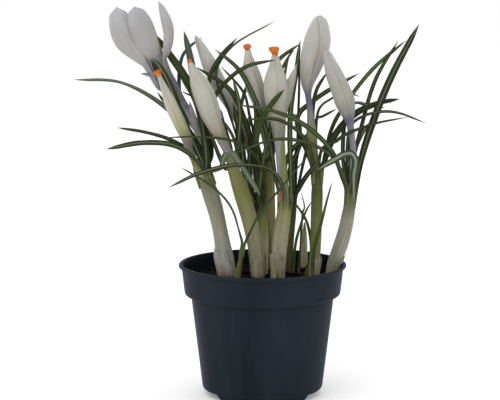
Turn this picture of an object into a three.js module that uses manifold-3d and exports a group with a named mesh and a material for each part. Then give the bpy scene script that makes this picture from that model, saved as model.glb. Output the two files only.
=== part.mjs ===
// A potted crocus: a thin round nursery pot, its soil, and a clump of crocus shoots.
// Units are millimetres, +Z is up, and the origin is on the pot's axis at the surface it stands on.
// The clump is looked at along +Y, so "left" is -X and "front" is -Y.
import * as THREE from "three";
import { mergeVertices } from "three/addons/utils/BufferGeometryUtils.js";
import Module from "manifold-3d";

const wasm = await Module();
wasm.setup();

const GAP = 0.3; // clearance kept between pieces that touch
const MERGE = 1e-4; // vertices closer than this are one

// ---- Pot ------------------------------------------------------------------------------------
const POT_HEIGHT = 71;
const LIP_RADIUS = 45;
const LIP_HEIGHT = 1.7;
const LIP_ROUND = 0.5;
const COLLAR_TOP_RADIUS = 43.5;
const COLLAR_FOOT_RADIUS = 42;
const COLLAR_HEIGHT = 16.6; // lip included
const COLLAR_ROUND = 1.8;
const BODY_TOP_RADIUS = 38.5;
const BODY_FOOT_RADIUS = 32.4;
const HEEL_HEIGHT = 4.4; // where the body wall turns in to the floor
const HEEL_ROUND = 1.2;
const FLOOR_HEIGHT = 3.2; // of the floor's underside, between its middle and the wall
const PANEL_RADIUS = 20; // the middle of the floor, which is as low as the skirt
const PANEL_SLOPE = 1; // how much wider the panel is at its top
const WALL = 1;
const FLOOR = 1.4;
const POT_SEGMENTS = 48;
const CORNER_STEPS = 3; // straight pieces in each rounded corner

const SKIRT_RADIUS = 30.5; // the ring that the pot stands on
const SKIRT_TOP_RADIUS = 31.1;
const SKIRT_TOP = 4.2; // inside the thickness of the floor
const SKIRT_WALL = 1.2;

const NOTCH_AZIMUTHS = [-90, 90]; // degrees from the front, one opening in the skirt at each
const NOTCH_HEIGHT = 6;
const NOTCH_FOOT_WIDTH = 43;
const NOTCH_TOP_WIDTH = 37;
const NOTCH_ROUND = 2.4;
const NOTCH_INNER_RADIUS = 14;
const NOTCH_OUTER_RADIUS = 36;
const NOTCH_DROP = 1; // the cutter reaches this far below the skirt

// ---- Soil -----------------------------------------------------------------------------------
const SOIL_TOP = 64.5;
const SOIL_CROWN = 0.8; // the middle stands this much above the edge
const PLANTING_DEPTH = 6; // how far a shoot goes down into the soil

// ---- Plant sections -------------------------------------------------------------------------
const LEAF_SIDES = 4; // its two edges, its upper side and its keel
const LEAF_STEPS = 12;
const LEAF_THICKNESS = 0.5; // of the width: a leaf is a shallow channel over a keel
const LEAF_TOP_SHARE = 0.25; // of the thickness that lies above the leaf's edges
const LEAF_BASE_SHARE = 0.6; // of the greatest width, at the leaf's base
const LEAF_WIDE_FROM = 0.4; // share of its length at which a leaf reaches its greatest width
const LEAF_TIP_POWER = 4; // the higher, the blunter the tip
const LEAF_STALK = 4; // a leaf leaves its sheath straight for this length
const SHEATH_SIDES = 10;
const SHEATH_STEPS = 8;
const BUD_SIDES = 10;
const BUD_STEPS = 14;
const BUD_TIP_POWER = 10;
const TEPAL_SIDES = 8;
const TEPAL_STALK = 2;
const TEPAL_THICKNESS = 1;
const TEPAL_TIP_POWER = 6;
const STIGMA_SIDES = 8;
const STIGMA_STEPS = 4;
const STIGMA_RADII = [0.4, 0.6, 1, 0.8]; // of its greatest radius, from its foot up

const COLOURS = {
  pot: 0x2c3235,
  soil: 0x241d16,
  sheath: 0xb4b29c,
  green_sheath: 0x85864f,
  flower: 0xc4c2bc,
  stigma: 0xdc7418,
  leaf: 0x2f3d1e,
};

const V = (x, y, z) => new THREE.Vector3(x, y, z);
const route = (points) => points.map((p) => V(...p));

// The value at share t of the way along a smooth line through evenly spaced values.
function along(values, t) {
  const line = new THREE.SplineCurve(values.map((v, i) => new THREE.Vector2(i, v)));
  return line.getPoint(t).y;
}

function material(colour, roughness) {
  return new THREE.MeshStandardMaterial({ color: colour, roughness, metalness: 0 });
}

// ---- Solids and booleans --------------------------------------------------------------------
function bare(geometry) {
  geometry.deleteAttribute("normal");
  geometry.deleteAttribute("uv");
  return mergeVertices(geometry, MERGE);
}

function solid(geometry) {
  const merged = bare(geometry.clone());
  return new wasm.Manifold(
    new wasm.Mesh({
      numProp: 3,
      vertProperties: new Float32Array(merged.attributes.position.array),
      triVerts: new Uint32Array(merged.index.array),
    }),
  );
}

function geometryOf(body) {
  const mesh = body.getMesh();
  return new THREE.BufferGeometry()
    .setAttribute("position", new THREE.BufferAttribute(mesh.vertProperties, 3))
    .setIndex(new THREE.BufferAttribute(mesh.triVerts, 1));
}

// Bends an upright cylinder or cone of unit height along a curve. The section at share t is the unit
// circle scaled by sizes(t) = [half width, upper half, lower half], and its upper side looks towards
// the face direction.
function bend(geometry, curve, face, sizes) {
  const place = geometry.attributes.position;
  for (let i = 0; i < place.count; i++) {
    const t = place.getY(i) + 0.5;
    const reach = Math.hypot(place.getX(i), place.getZ(i)) || 1;
    const across = place.getX(i) / reach;
    const upward = place.getZ(i) / reach;
    const tangent = curve.getTangentAt(t);
    const side = V().crossVectors(tangent, face).normalize();
    const normal = V().crossVectors(side, tangent);
    const [halfWidth, upper, lower] = sizes(t);
    const point = curve
      .getPointAt(t)
      .addScaledVector(side, across * halfWidth)
      .addScaledVector(normal, upward * (upward > 0 ? upper : lower));
    place.setXYZ(i, point.x, point.y, point.z);
  }
  return bare(geometry);
}

const rod = (sides, steps) => new THREE.CylinderGeometry(1, 1, 1, sides, steps);
const spike = (sides, steps) => new THREE.ConeGeometry(1, 1, sides, steps);

const group = new THREE.Group();

function add(name, geometry, colour, roughness = 0.6) {
  const mesh = new THREE.Mesh(geometry, material(colour, roughness));
  mesh.name = name;
  group.add(mesh);
}

// ---- Pot and soil ---------------------------------------------------------------------------
const COLLAR_FOOT = POT_HEIGHT - COLLAR_HEIGHT;
const LIP_FOOT = POT_HEIGHT - LIP_HEIGHT;

// The inside of the pot, from the middle of its floor up to the rim.
function insideProfile(inset) {
  return [
    [PANEL_RADIUS - WALL - inset, FLOOR + inset],
    [PANEL_RADIUS + PANEL_SLOPE - WALL - inset, FLOOR_HEIGHT + FLOOR + inset],
    [BODY_FOOT_RADIUS - HEEL_ROUND - WALL - inset, FLOOR_HEIGHT + FLOOR + inset],
    [BODY_FOOT_RADIUS - WALL - inset, HEEL_HEIGHT + FLOOR + inset],
    [BODY_TOP_RADIUS - WALL - inset, COLLAR_FOOT + inset],
    [COLLAR_FOOT_RADIUS - COLLAR_ROUND - WALL - inset, COLLAR_FOOT + WALL + inset],
    [COLLAR_FOOT_RADIUS - WALL - inset, COLLAR_FOOT + COLLAR_ROUND + WALL + inset],
    [COLLAR_TOP_RADIUS - WALL - inset, LIP_FOOT],
  ];
}

function outsideProfile() {
  const wall = new THREE.Path();
  wall.moveTo(0, 0);
  wall.lineTo(PANEL_RADIUS, 0);
  wall.lineTo(PANEL_RADIUS + PANEL_SLOPE, FLOOR_HEIGHT);
  wall.lineTo(BODY_FOOT_RADIUS - HEEL_ROUND, FLOOR_HEIGHT);
  wall.quadraticCurveTo(
    BODY_FOOT_RADIUS - LIP_ROUND,
    FLOOR_HEIGHT,
    BODY_FOOT_RADIUS,
    HEEL_HEIGHT,
  );
  wall.lineTo(BODY_TOP_RADIUS, COLLAR_FOOT);
  wall.lineTo(COLLAR_FOOT_RADIUS - COLLAR_ROUND, COLLAR_FOOT);
  wall.quadraticCurveTo(
    COLLAR_FOOT_RADIUS,
    COLLAR_FOOT,
    COLLAR_FOOT_RADIUS,
    COLLAR_FOOT + COLLAR_ROUND,
  );
  wall.lineTo(COLLAR_TOP_RADIUS, LIP_FOOT);
  wall.lineTo(LIP_RADIUS - LIP_ROUND, LIP_FOOT);
  wall.lineTo(LIP_RADIUS, LIP_FOOT + LIP_ROUND);
  wall.lineTo(LIP_RADIUS, POT_HEIGHT - LIP_ROUND);
  wall.lineTo(LIP_RADIUS - LIP_ROUND, POT_HEIGHT);
  return wall.getPoints(CORNER_STEPS).map((p) => [p.x, p.y]);
}

function notchCutter(azimuth) {
  const [foot, top] = [NOTCH_FOOT_WIDTH / 2, NOTCH_TOP_WIDTH / 2];
  const arch = new THREE.Shape();
  arch.moveTo(-foot, -NOTCH_DROP);
  arch.lineTo(foot, -NOTCH_DROP);
  arch.lineTo(foot, 0);
  arch.lineTo(top, NOTCH_HEIGHT - NOTCH_ROUND);
  arch.quadraticCurveTo(top, NOTCH_HEIGHT, top - NOTCH_ROUND, NOTCH_HEIGHT);
  arch.lineTo(NOTCH_ROUND - top, NOTCH_HEIGHT);
  arch.quadraticCurveTo(-top, NOTCH_HEIGHT, -top, NOTCH_HEIGHT - NOTCH_ROUND);
  arch.lineTo(-foot, 0);
  const cutter = new THREE.ExtrudeGeometry(arch, {
    depth: NOTCH_OUTER_RADIUS - NOTCH_INNER_RADIUS,
    bevelEnabled: false,
    curveSegments: CORNER_STEPS,
  });
  cutter.translate(0, 0, -NOTCH_OUTER_RADIUS);
  cutter.rotateX(Math.PI / 2); // the outline stands up, and the notch runs along +Y from the inside
  cutter.rotateZ(Math.PI + THREE.MathUtils.degToRad(azimuth));
  return solid(cutter);
}

function lathe(profile, segments) {
  const turned = new THREE.LatheGeometry(
    profile.map(([r, z]) => new THREE.Vector2(r, z)),
    segments,
  );
  return turned.rotateX(Math.PI / 2);
}

// A bowl on a skirt, which leaves two wide openings under the heel, one at each side.
function pot() {
  const inside = [
    [COLLAR_TOP_RADIUS - WALL + LIP_ROUND, POT_HEIGHT],
    ...insideProfile(0).reverse(),
    [0, FLOOR],
  ];
  const bowl = solid(lathe([...outsideProfile(), ...inside], POT_SEGMENTS));
  const ring = [
    [SKIRT_RADIUS - SKIRT_WALL, 0],
    [SKIRT_RADIUS, 0],
    [SKIRT_TOP_RADIUS, SKIRT_TOP],
    [SKIRT_TOP_RADIUS - SKIRT_WALL, SKIRT_TOP - LIP_ROUND],
    [SKIRT_RADIUS - SKIRT_WALL, 0],
  ];
  const skirt = solid(lathe(ring, POT_SEGMENTS));
  const feet = NOTCH_AZIMUTHS.reduce((body, azimuth) => body.subtract(notchCutter(azimuth)), skirt);
  return geometryOf(bowl.add(feet));
}

// The soil fills the pot to just under its lip. Each shoot stands in a socket of its own.
function soil(sockets) {
  const side = insideProfile(GAP).filter(([, z]) => z < SOIL_TOP - SOIL_CROWN);
  const [footR, footZ] = side.at(-1);
  const slope = (COLLAR_TOP_RADIUS - COLLAR_FOOT_RADIUS) / (LIP_FOOT - COLLAR_FOOT - COLLAR_ROUND);
  const edge = footR + slope * (SOIL_TOP - SOIL_CROWN - footZ) - GAP / 2;
  const profile = [
    [0, FLOOR + GAP],
    ...side,
    [edge, SOIL_TOP - SOIL_CROWN],
    [edge / 2, SOIL_TOP],
    [0, SOIL_TOP],
  ];
  const body = solid(lathe(profile, POT_SEGMENTS));
  return geometryOf(sockets.reduce((left, socket) => left.subtract(socket), body));
}

// ---- Shoots ---------------------------------------------------------------------------------
// Each crocus comes up as a pale sheath with a mouth at its top. A route starts in the soil, and
// the radii are spaced evenly along it.
const ROOT_Z = SOIL_TOP - PLANTING_DEPTH;

const SHEATHS = {
  left: {
    route: [[-18, -4, ROOT_Z], [-21, -4, 79], [-23.5, -4, 93], [-26.5, -4, 105], [-30.5, -4, 116.5]],
    radii: [4.6, 4.8, 3.9, 4.2, 4.5],
  },
  small: {
    route: [[-14, -11, ROOT_Z], [-13, -11.5, 68], [-11, -12, 79]],
    radii: [1.6, 1.7, 1.3],
  },
  middle: {
    route: [[-2, -6, ROOT_Z], [-4, -6, 80], [-7, -6, 95], [-11, -6, 109], [-14.5, -6, 120]],
    radii: [3.4, 3.9, 4, 4.2, 4],
  },
  inner: {
    route: [[-0.5, 3.5, ROOT_Z], [-0.5, 3.5, 80], [-1, 3.5, 97]],
    radii: [3, 3.4, 3.2],
  },
  tall: {
    route: [[5, 10, ROOT_Z], [4, 10, 90], [3.5, 9.5, 120]],
    radii: [2.4, 2.7, 2.6],
  },
  front: {
    route: [[8, -9, ROOT_Z], [9, -9, 82], [11.5, -9, 102]],
    radii: [3.4, 4, 3.8],
  },
  back: {
    route: [[13.5, 7, ROOT_Z], [15, 7, 82], [16.8, 7, 101]],
    radii: [1.8, 1.8, 1.6],
  },
  right: {
    route: [[27, 0, ROOT_Z], [28.5, 0, 86], [29, 0, 117]],
    radii: [3, 2.9, 3],
  },
  edge: {
    route: [[36, 1, ROOT_Z], [38, 1, 70], [41.5, 0.5, 80], [44.5, 0, 91], [46.7, 0, 104]],
    radii: [3, 3.5, 3.8, 3.5, 3.2],
  },
};

// A second, narrower sheath stands on the mouth of the left one.
const LEFT_INNER = { seat: [-0.6, -1.9], route: [[-35, -6, 124], [-38, -5.5, 131]], radii: [2.1, 2.4, 2.3] };

const SPROUT = { route: [[23, 28, ROOT_Z], [23, 28, 89]], radii: [1.7, 1.7, 1.5, 1.2] };

// ---- Flowers --------------------------------------------------------------------------------
// A flower that hasn't opened swells out of its tube. It stands on the mouth of its sheath, at a
// seat across and behind the mouth's middle. A closed one ends in a rounded tip.
const BUDS = {
  left_front: {
    sheath: "left_inner",
    seat: [0, 0],
    route: [[-39.8, -5, 138], [-43.5, -5, 146], [-47.5, -6, 155], [-51.5, -7, 165], [-54.5, -8, 172.5]],
    radii: [1.9, 2.8, 3.2, 3.4, 3.1, 2.1, 1.1],
  },
  middle_front: {
    sheath: "middle",
    seat: [-0.6, -0.8],
    route: [[-17, -6.5, 128], [-21, -6, 138], [-26, -6, 149], [-30, -6, 160], [-34, -7, 170], [-38, -8, 179]],
    radii: [2, 2.2, 3.2, 5, 5.6, 4.6, 1.3],
  },
  middle_back: {
    sheath: "inner",
    seat: [-0.8, 0.8],
    route: [[-3, 9, 112], [-9, 12, 136], [-19, 12, 158], [-24, 13, 167], [-31, 14, 182], [-36, 15, 192]],
    radii: [1.4, 1.4, 1.5, 1.6, 2.6, 4.2, 4.2, 2.6],
    closed: true,
  },
  tall: {
    sheath: "tall",
    seat: [0, 0],
    route: [[3, 8.5, 130], [1, 7, 141.5], [-1, 5, 155.5], [-4.5, 4, 167.3], [-7, 3, 177.3], [-8, 2, 185.3]],
    radii: [1.4, 1.5, 2, 3.4, 4.8, 4.3, 1.5],
  },
  front: {
    sheath: "front",
    seat: [-0.2, 0.2],
    route: [[10.5, -6, 115], [9.5, -4.5, 127], [8.5, -3.5, 143], [7, -3, 159], [6.7, -3.5, 172], [6.5, -4, 182.5]],
    radii: [2.1, 2.2, 2.3, 3.4, 5.4, 6.2, 1.9],
  },
  right: {
    sheath: "right",
    seat: [0, 0],
    route: [[26.8, 1, 130], [25.9, 2, 143], [25.1, 3, 155], [23.8, 3.5, 166], [25.4, 4, 176], [28.8, 6, 189],
      [30.7, 8, 203.5]],
    radii: [1.5, 2.5, 2.4, 1.4, 1.4, 4.8, 7, 7.8, 6.3],
    closed: true,
  },
  edge: {
    sheath: "edge",
    seat: [0.2, -0.1],
    route: [[48, 0.5, 113], [48.2, 0, 124], [48, -1, 134], [46.5, -2, 146], [43, -3, 160], [37, -5, 175], [33, -6, 187]],
    radii: [1.6, 1.6, 1.5, 1.4, 1.9, 5.2, 5.1, 4.6, 3.2],
    closed: true,
  },
};

// The orange stigma of a flower that is about to open stands in the mouth between its tepals.
const STIGMAS = {
  left_front: { radius: 1.5, height: 3 },
  middle_front: { radius: 1.2, height: 2.2 },
  tall: { radius: 2, height: 2.8 },
  front: { radius: 2.6, height: 4.8 },
};

// The open flower: a tube that widens to a cup, and tepals that stand on the cup's edge.
const OPEN_FLOWER = {
  sheath: "left",
  seat: [-1.6, 2.6],
  route: [[-32.5, 3, 127], [-35, 6, 140], [-40, 9, 152.5], [-45.5, 11, 160], [-53.5, 13, 170]],
  radii: [1.2, 1.5, 1.5, 2.2, 5.3],
};

const TEPALS = {
  left: {
    seat: [-3.3, 1.4],
    route: [[-65.5, 12.3, 177], [-71, 12.3, 184.5], [-74.8, 12.5, 192], [-76.5, 13, 199.5], [-78.2, 14, 207.5]],
    widths: [1.8, 3.6, 5.2, 6.2, 6],
  },
  middle: {
    seat: [0, -2.6],
    route: [[-59.5, 9.8, 181], [-63.2, 10.8, 190.5], [-66.1, 10.8, 199.5], [-68.5, 9.8, 208]],
    widths: [2, 4.6, 6.4, 6.6, 5.4],
  },
  right: {
    seat: [3.6, -0.6],
    route: [[-51, 8, 181], [-50, 8, 189], [-50.5, 8.5, 196.5], [-52.5, 9, 203.5], [-55.5, 10, 211]],
    widths: [1.6, 2, 2.8, 3.4, 2.6],
  },
  back: {
    seat: [0.4, 4.2],
    route: [[-58, 20, 182], [-62, 22.5, 191], [-64, 24, 199], [-65, 24, 205]],
    widths: [1.6, 3.8, 4.8, 4.8, 3.6],
  },
};

// ---- Leaves ---------------------------------------------------------------------------------
// One list a sheath. The face is the way the leaf's channelled upper side looks.
const FRONT = V(0, -1, 0);
const OUT = V(0, -1, 0.1);
const UP = V(0, -0.85, 0.5);
const OVER = V(0, -0.8, 0.7);

const LEAVES = {
  left: [
    {
      seat: [-3.7, 1], width: 2.2, face: OVER,
      route: [[-38, 0.5, 132], [-45, 1, 147.5], [-56, 0, 158.5], [-76, -7, 169.5], [-100, -12, 171]],
    },
    {
      seat: [-3.8, -0.6], width: 1.9, face: OVER,
      route: [[-39, -1, 132], [-48.5, -3, 138], [-62, -9, 143], [-77, -14, 146]],
    },
    {
      seat: [1.4, -3.6], width: 2.6, face: UP,
      route: [[-31, -11, 123.5], [-35, -13.5, 129], [-46, -18, 137], [-63, -22, 139], [-82, -26, 136]],
    },
    {
      seat: [4, -0.5], width: 2.6, face: OUT,
      route: [[-31, -1, 129], [-41, 2, 145], [-48.7, 3, 159], [-55, 5, 171], [-60, 5, 181]],
    },
    {
      seat: [2.1, 3.1], width: 3.2, face: OUT,
      route: [[-28, 6, 129], [-30, 8, 142], [-34, 9, 155], [-42, 11, 171], [-50, 15, 182], [-57, 19, 192]],
    },
    {
      seat: [3.4, 1.7], width: 2.8, face: OUT,
      route: [[-29, 0, 126], [-31, 4, 136], [-33, 6, 150], [-36, 8, 165], [-39, 10, 182], [-42.3, 14, 195]],
    },
    {
      seat: [0.8, 3.8], width: 1.8, face: OUT,
      route: [[-31, 9, 130], [-36, 12, 141], [-43, 16, 152], [-45, 18, 170], [-42, 19, 183], [-32, 20, 191]],
    },
    {
      seat: [3.1, -2.5], width: 2.6, face: OUT,
      route: [[-22.5, -11, 124], [-20, -15.5, 131], [-17, -17, 133.5], [-12, -18, 127.5], [-1, -20, 110.5]],
    },
  ],
  small: [
    {
      seat: [-0.6, 0.3], width: 1.1, face: OUT,
      route: [[-12.5, -13, 91], [-16.5, -15, 103.5], [-25, -17.5, 114], [-43.5, -22, 126.5]],
    },
    {
      seat: [0.6, -0.3], width: 1.1, face: OUT,
      route: [[-6, -14, 91.5], [-1, -16, 101.5], [10.5, -18, 115.5], [22.5, -20, 130.5]],
    },
  ],
  middle: [
    {
      seat: [-1.4, 2.8], width: 2.2, face: UP,
      route: [[-19, -1, 131], [-25, 2, 146], [-27, 3, 156], [-21, 1, 167], [-8.5, -6, 177.5], [7.5, -10, 181.5]],
    },
    {
      seat: [0.4, 3], width: 2.2, face: OUT,
      route: [[-17, 2, 132], [-25, 6, 150], [-29, 7, 166], [-24, 7.5, 179.5], [-13, 9, 192]],
    },
    {
      seat: [2.3, 2], width: 1.3, face: UP,
      route: [[-13, 4, 134], [-19, 6, 155], [-25, 8, 172], [-17, 12, 186], [7, 17, 200]],
    },
  ],
  inner: [
    {
      seat: [1.8, 0], width: 2.8, face: UP,
      route: [[0, 1, 112], [-5, 1, 134.5], [-10, -1, 149.5], [-17.5, -2, 165], [-36, -4, 177.5]],
    },
    {
      seat: [-0.4, -2.4], width: 1.5, face: OVER,
      route: [[1, -2.5, 112], [-3, -8, 129], [-13.5, -12, 138], [-33, -13, 141], [-53, -13, 140.5]],
    },
  ],
  tall: [
    {
      seat: [2, 0.9], width: 2.2, face: OUT,
      route: [[6, 11, 135], [4.5, 11, 155], [4, 10, 173], [10, 10, 181], [20.5, 9, 188.5]],
    },
    {
      seat: [-1.8, -1.3], width: 2.4, face: OUT,
      route: [[-0.5, 3, 128], [-3.5, -6, 138.5], [0, -9, 150.5], [5, -10, 158.5], [11.5, -11, 166]],
    },
  ],
  front: [
    {
      seat: [0, -3.2], width: 2.2, face: OVER,
      route: [[11.5, -14, 111.5], [5.5, -18, 123.5], [-12, -22.5, 127.5], [-32.5, -28, 124], [-49.5, -32, 116.5]],
    },
    {
      seat: [2.9, 0.8], width: 3, face: OUT,
      route: [[15, -6, 120], [14.5, -3, 138], [15, 1, 155], [18, 5, 175], [20, 8, 191]],
    },
    {
      seat: [-2.9, 1.4], width: 2.4, face: OUT,
      route: [[7, -3, 117], [4, -4, 135], [-2, -6, 155], [-8, -3.5, 168], [-14.5, 3, 177], [-26, 8, 185.5]],
    },
  ],
  back: [
    {
      seat: [0, 0], width: 2.4, face: OUT,
      route: [[20.5, 3, 113], [25.5, -6, 122.2], [31, -10, 129.2]],
    },
  ],
  right: [
    {
      seat: [-1.7, -2.2], width: 2.2, face: OVER,
      route: [[26, -5, 130], [22, -9, 140], [9, -14, 150], [-9, -19, 151]],
    },
    {
      seat: [2.6, 0.6], width: 2, face: OUT,
      route: [[33, 3, 128], [37, 8, 143], [46, 12, 158], [60, 16, 175], [77.5, 20, 189.5]],
    },
    {
      seat: [2.1, -1.7], width: 2.6, face: UP,
      route: [[33, -1.5, 126.5], [38, 2, 139.3], [49, 6.5, 150.8], [62, 11.8, 156.3], [74, 16, 158]],
    },
    {
      seat: [-2.3, 1.3], width: 2.4, face: UP,
      route: [[24.5, 5, 128], [18.5, 6, 149], [25, 9, 156], [36, 12, 163.5], [52, 15, 172]],
    },
  ],
  edge: [
    {
      seat: [-2.4, -0.2], width: 2.6, face: OVER,
      route: [[42, -3, 119], [36, -10, 134], [20, -16, 149], [4, -20, 156], [-13, -23, 159]],
    },
    {
      seat: [-1.4, -2.1], width: 2, face: OVER,
      route: [[43, -7, 119], [36, -11, 131], [22, -14, 138.5], [6, -16, 140], [-14, -17, 133]],
    },
    {
      seat: [1.2, -2.3], width: 3, face: UP,
      route: [[48.5, -5, 119.5], [49.3, -7.5, 128], [46, -10, 132], [36, -14, 128], [29, -17, 124]],
    },
    {
      seat: [2.1, 1.6], width: 3.8, face: OUT,
      route: [[51, 4, 118], [54, 6, 131], [61, 8, 152], [70, 11, 173], [84, 17, 198.5]],
    },
    {
      seat: [0.2, 2.5], width: 2, face: OUT,
      route: [[48.5, 7, 124], [53, 9.5, 144], [61, 15, 169.5], [73, 18, 189.5]],
    },
    {
      seat: [-1.7, 1.7], width: 1.6, face: UP,
      route: [[45, 5, 124], [48, 5, 146], [58, 4, 151.5], [70, 2.5, 152.5], [87.5, 0, 146.5]],
    },
  ],
};

// ---- Placing --------------------------------------------------------------------------------
const curveOf = (points) => new THREE.CatmullRomCurve3(points);

// A round body along a curve, its radii spaced evenly. A closed one has a rounded tip.
function stem(curve, radii, closed, sides, steps) {
  const form = closed ? spike(sides, steps) : rod(sides, steps);
  return bend(form, curve, FRONT, (t) => {
    const radius = along(radii, t) * (closed ? Math.sqrt(1 - t ** BUD_TIP_POWER) : 1);
    return [radius, radius, radius];
  });
}

// The point on a stem's top face, across to the right and back from its middle, with the way the
// stem points there.
function mouth(curve, [across, back]) {
  const up = curve.getTangentAt(1);
  const right = V(1, 0, 0).addScaledVector(up, -up.x).normalize();
  const behind = V().crossVectors(up, right);
  const point = curve.getPointAt(1).addScaledVector(right, across).addScaledVector(behind, back);
  return { point: point.addScaledVector(up, GAP), up };
}

// A curve that leaves a mouth squarely and then follows its own route.
function growth(from, seat, points, stalk = LEAF_STALK) {
  const { point, up } = mouth(from, seat);
  return curveOf([point, point.clone().addScaledVector(up, stalk), ...route(points)]);
}

function leafSizes(width) {
  return (t) => {
    const spread = LEAF_BASE_SHARE + (1 - LEAF_BASE_SHARE) * THREE.MathUtils.smoothstep(t, 0, LEAF_WIDE_FROM);
    const half = (width / 2) * spread * Math.sqrt(1 - t ** LEAF_TIP_POWER);
    const thickness = 2 * half * LEAF_THICKNESS;
    return [half, thickness * LEAF_TOP_SHARE, thickness * (1 - LEAF_TOP_SHARE)];
  };
}

function tepalSizes(widths) {
  return (t) => {
    const half = along(widths, t) * Math.sqrt(1 - t ** TEPAL_TIP_POWER);
    const thickness = Math.min(TEPAL_THICKNESS, half);
    return [half, thickness / 2, thickness / 2];
  };
}

// A socket in the soil, wider and deeper than the foot of the stem that stands in it.
function socket(points, radii) {
  const [[x, y, z], ...rest] = points;
  const curve = curveOf(route([[x, y, z - GAP], ...rest]));
  const wide = radii.map((radius) => radius + GAP);
  return solid(stem(curve, wide, false, SHEATH_SIDES, SHEATH_STEPS));
}

const curves = {};
const sockets = [];
for (const [name, { route: points, radii }] of Object.entries(SHEATHS)) {
  curves[name] = curveOf(route(points));
  sockets.push(socket(points, radii));
  add(`sheath_${name}`, stem(curves[name], radii, false, SHEATH_SIDES, SHEATH_STEPS), COLOURS.sheath);
}

curves.left_inner = growth(curves.left, LEFT_INNER.seat, LEFT_INNER.route);
add(
  "sheath_left_inner",
  stem(curves.left_inner, LEFT_INNER.radii, false, SHEATH_SIDES, SHEATH_STEPS),
  COLOURS.sheath,
);

sockets.push(socket(SPROUT.route, SPROUT.radii));
add("sprout", stem(curveOf(route(SPROUT.route)), SPROUT.radii, true, SHEATH_SIDES, SHEATH_STEPS), COLOURS.sheath);

add("pot", pot(), COLOURS.pot, 0.45);
add("soil", soil(sockets), COLOURS.soil, 1);

for (const [name, bud] of Object.entries(BUDS)) {
  const curve = growth(curves[bud.sheath], bud.seat, bud.route);
  add(`flower_${name}`, stem(curve, bud.radii, bud.closed, BUD_SIDES, BUD_STEPS), COLOURS.flower);
  if (!STIGMAS[name]) continue;
  const { radius, height } = STIGMAS[name];
  const { point, up } = mouth(curve, [0, 0]);
  const top = point.clone().addScaledVector(up, height);
  const radii = STIGMA_RADII.map((share) => share * radius);
  const frill = stem(curveOf([point, top]), radii, false, STIGMA_SIDES, STIGMA_STEPS);
  add(`stigma_${name}`, frill, COLOURS.stigma);
}

const cup = growth(curves[OPEN_FLOWER.sheath], OPEN_FLOWER.seat, OPEN_FLOWER.route);
add("flower_open_cup", stem(cup, OPEN_FLOWER.radii, false, BUD_SIDES, BUD_STEPS), COLOURS.flower);
for (const [name, { seat, route: points, widths }] of Object.entries(TEPALS)) {
  const curve = growth(cup, seat, points, TEPAL_STALK);
  add(
    `flower_open_tepal_${name}`,
    bend(spike(TEPAL_SIDES, BUD_STEPS), curve, FRONT, tepalSizes(widths)),
    COLOURS.flower,
  );
}

for (const [sheath, leaves] of Object.entries(LEAVES)) {
  leaves.forEach(({ seat, width, face, route: points }, i) => {
    const curve = growth(curves[sheath], seat, points);
    const blade = bend(spike(LEAF_SIDES, LEAF_STEPS), curve, face, leafSizes(width));
    add(`leaf_${sheath}_${i + 1}`, blade, COLOURS.leaf);
  });
}

export default group;
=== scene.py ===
"""The looks of a potted crocus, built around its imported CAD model. Lengths are in metres.

Every shoot, leaf and flower is read back from its CAD solid as a spine: a smooth line with a width at
each place. The fine surfaces are then lofted along those spines, so nothing has to be fitted.
"""
import math
import random

import bmesh
import bpy
import numpy as np
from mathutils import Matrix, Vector, noise


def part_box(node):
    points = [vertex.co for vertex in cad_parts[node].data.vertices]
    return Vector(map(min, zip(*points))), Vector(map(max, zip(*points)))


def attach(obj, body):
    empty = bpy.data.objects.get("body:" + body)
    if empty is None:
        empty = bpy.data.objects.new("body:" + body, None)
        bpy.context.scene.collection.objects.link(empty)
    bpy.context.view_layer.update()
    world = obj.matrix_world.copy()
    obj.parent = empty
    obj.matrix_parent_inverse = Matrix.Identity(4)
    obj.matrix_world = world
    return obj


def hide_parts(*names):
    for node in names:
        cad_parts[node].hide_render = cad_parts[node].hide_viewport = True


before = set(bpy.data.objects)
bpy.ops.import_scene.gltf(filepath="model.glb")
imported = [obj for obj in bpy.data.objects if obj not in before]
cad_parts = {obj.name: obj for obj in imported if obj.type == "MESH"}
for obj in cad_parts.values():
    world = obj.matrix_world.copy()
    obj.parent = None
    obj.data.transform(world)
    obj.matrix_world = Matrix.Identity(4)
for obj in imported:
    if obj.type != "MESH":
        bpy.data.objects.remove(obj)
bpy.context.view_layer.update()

MM = 0.001
FRONT = np.array([0.0, -1.0, 0.0])


def new_object(name, data):
    """An object in the scene, of a mesh, a camera or a lamp."""
    made = bpy.data.objects.new(name, data)
    bpy.context.scene.collection.objects.link(made)
    return made


def new_mesh(name, points, faces):
    """A mesh of points and of faces that name their corners by number."""
    mesh = bpy.data.meshes.new(name)
    mesh.from_pydata(points, [], faces)
    mesh.update()
    return mesh


# ---- Camera and light ----
RIM = Vector((0, 0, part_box("pot")[1].z))
CAMERA_DISTANCE = 1.2  # from the middle of the rim
CAMERA_ELEVATION = math.radians(10.4)  # above the rim
CAMERA_DOWN = math.radians(8.779)  # how far it looks down
CAMERA_LEFT = math.radians(0.327)  # and to the left
LENS_MM = 160.8

WORLD_LIGHT = 0.9
FLOOR_GLOW = 0.16  # brings the far floor up to white
FLOOR_RADIUS = 9.0

LAMP_AIM = Vector((0, 0, 0.12))
# name, azimuth from the front towards the right, elevation, distance, size, watts
LAMPS = (
    ("key", -30, 50, 1.4, 1.1, 4.0),
    ("right", 80, 40, 1.3, 1.1, 0.95),
    ("left", -100, 30, 1.3, 1.0, 1.0),
    ("back", 160, 50, 1.5, 1.2, 2.5),
)


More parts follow.
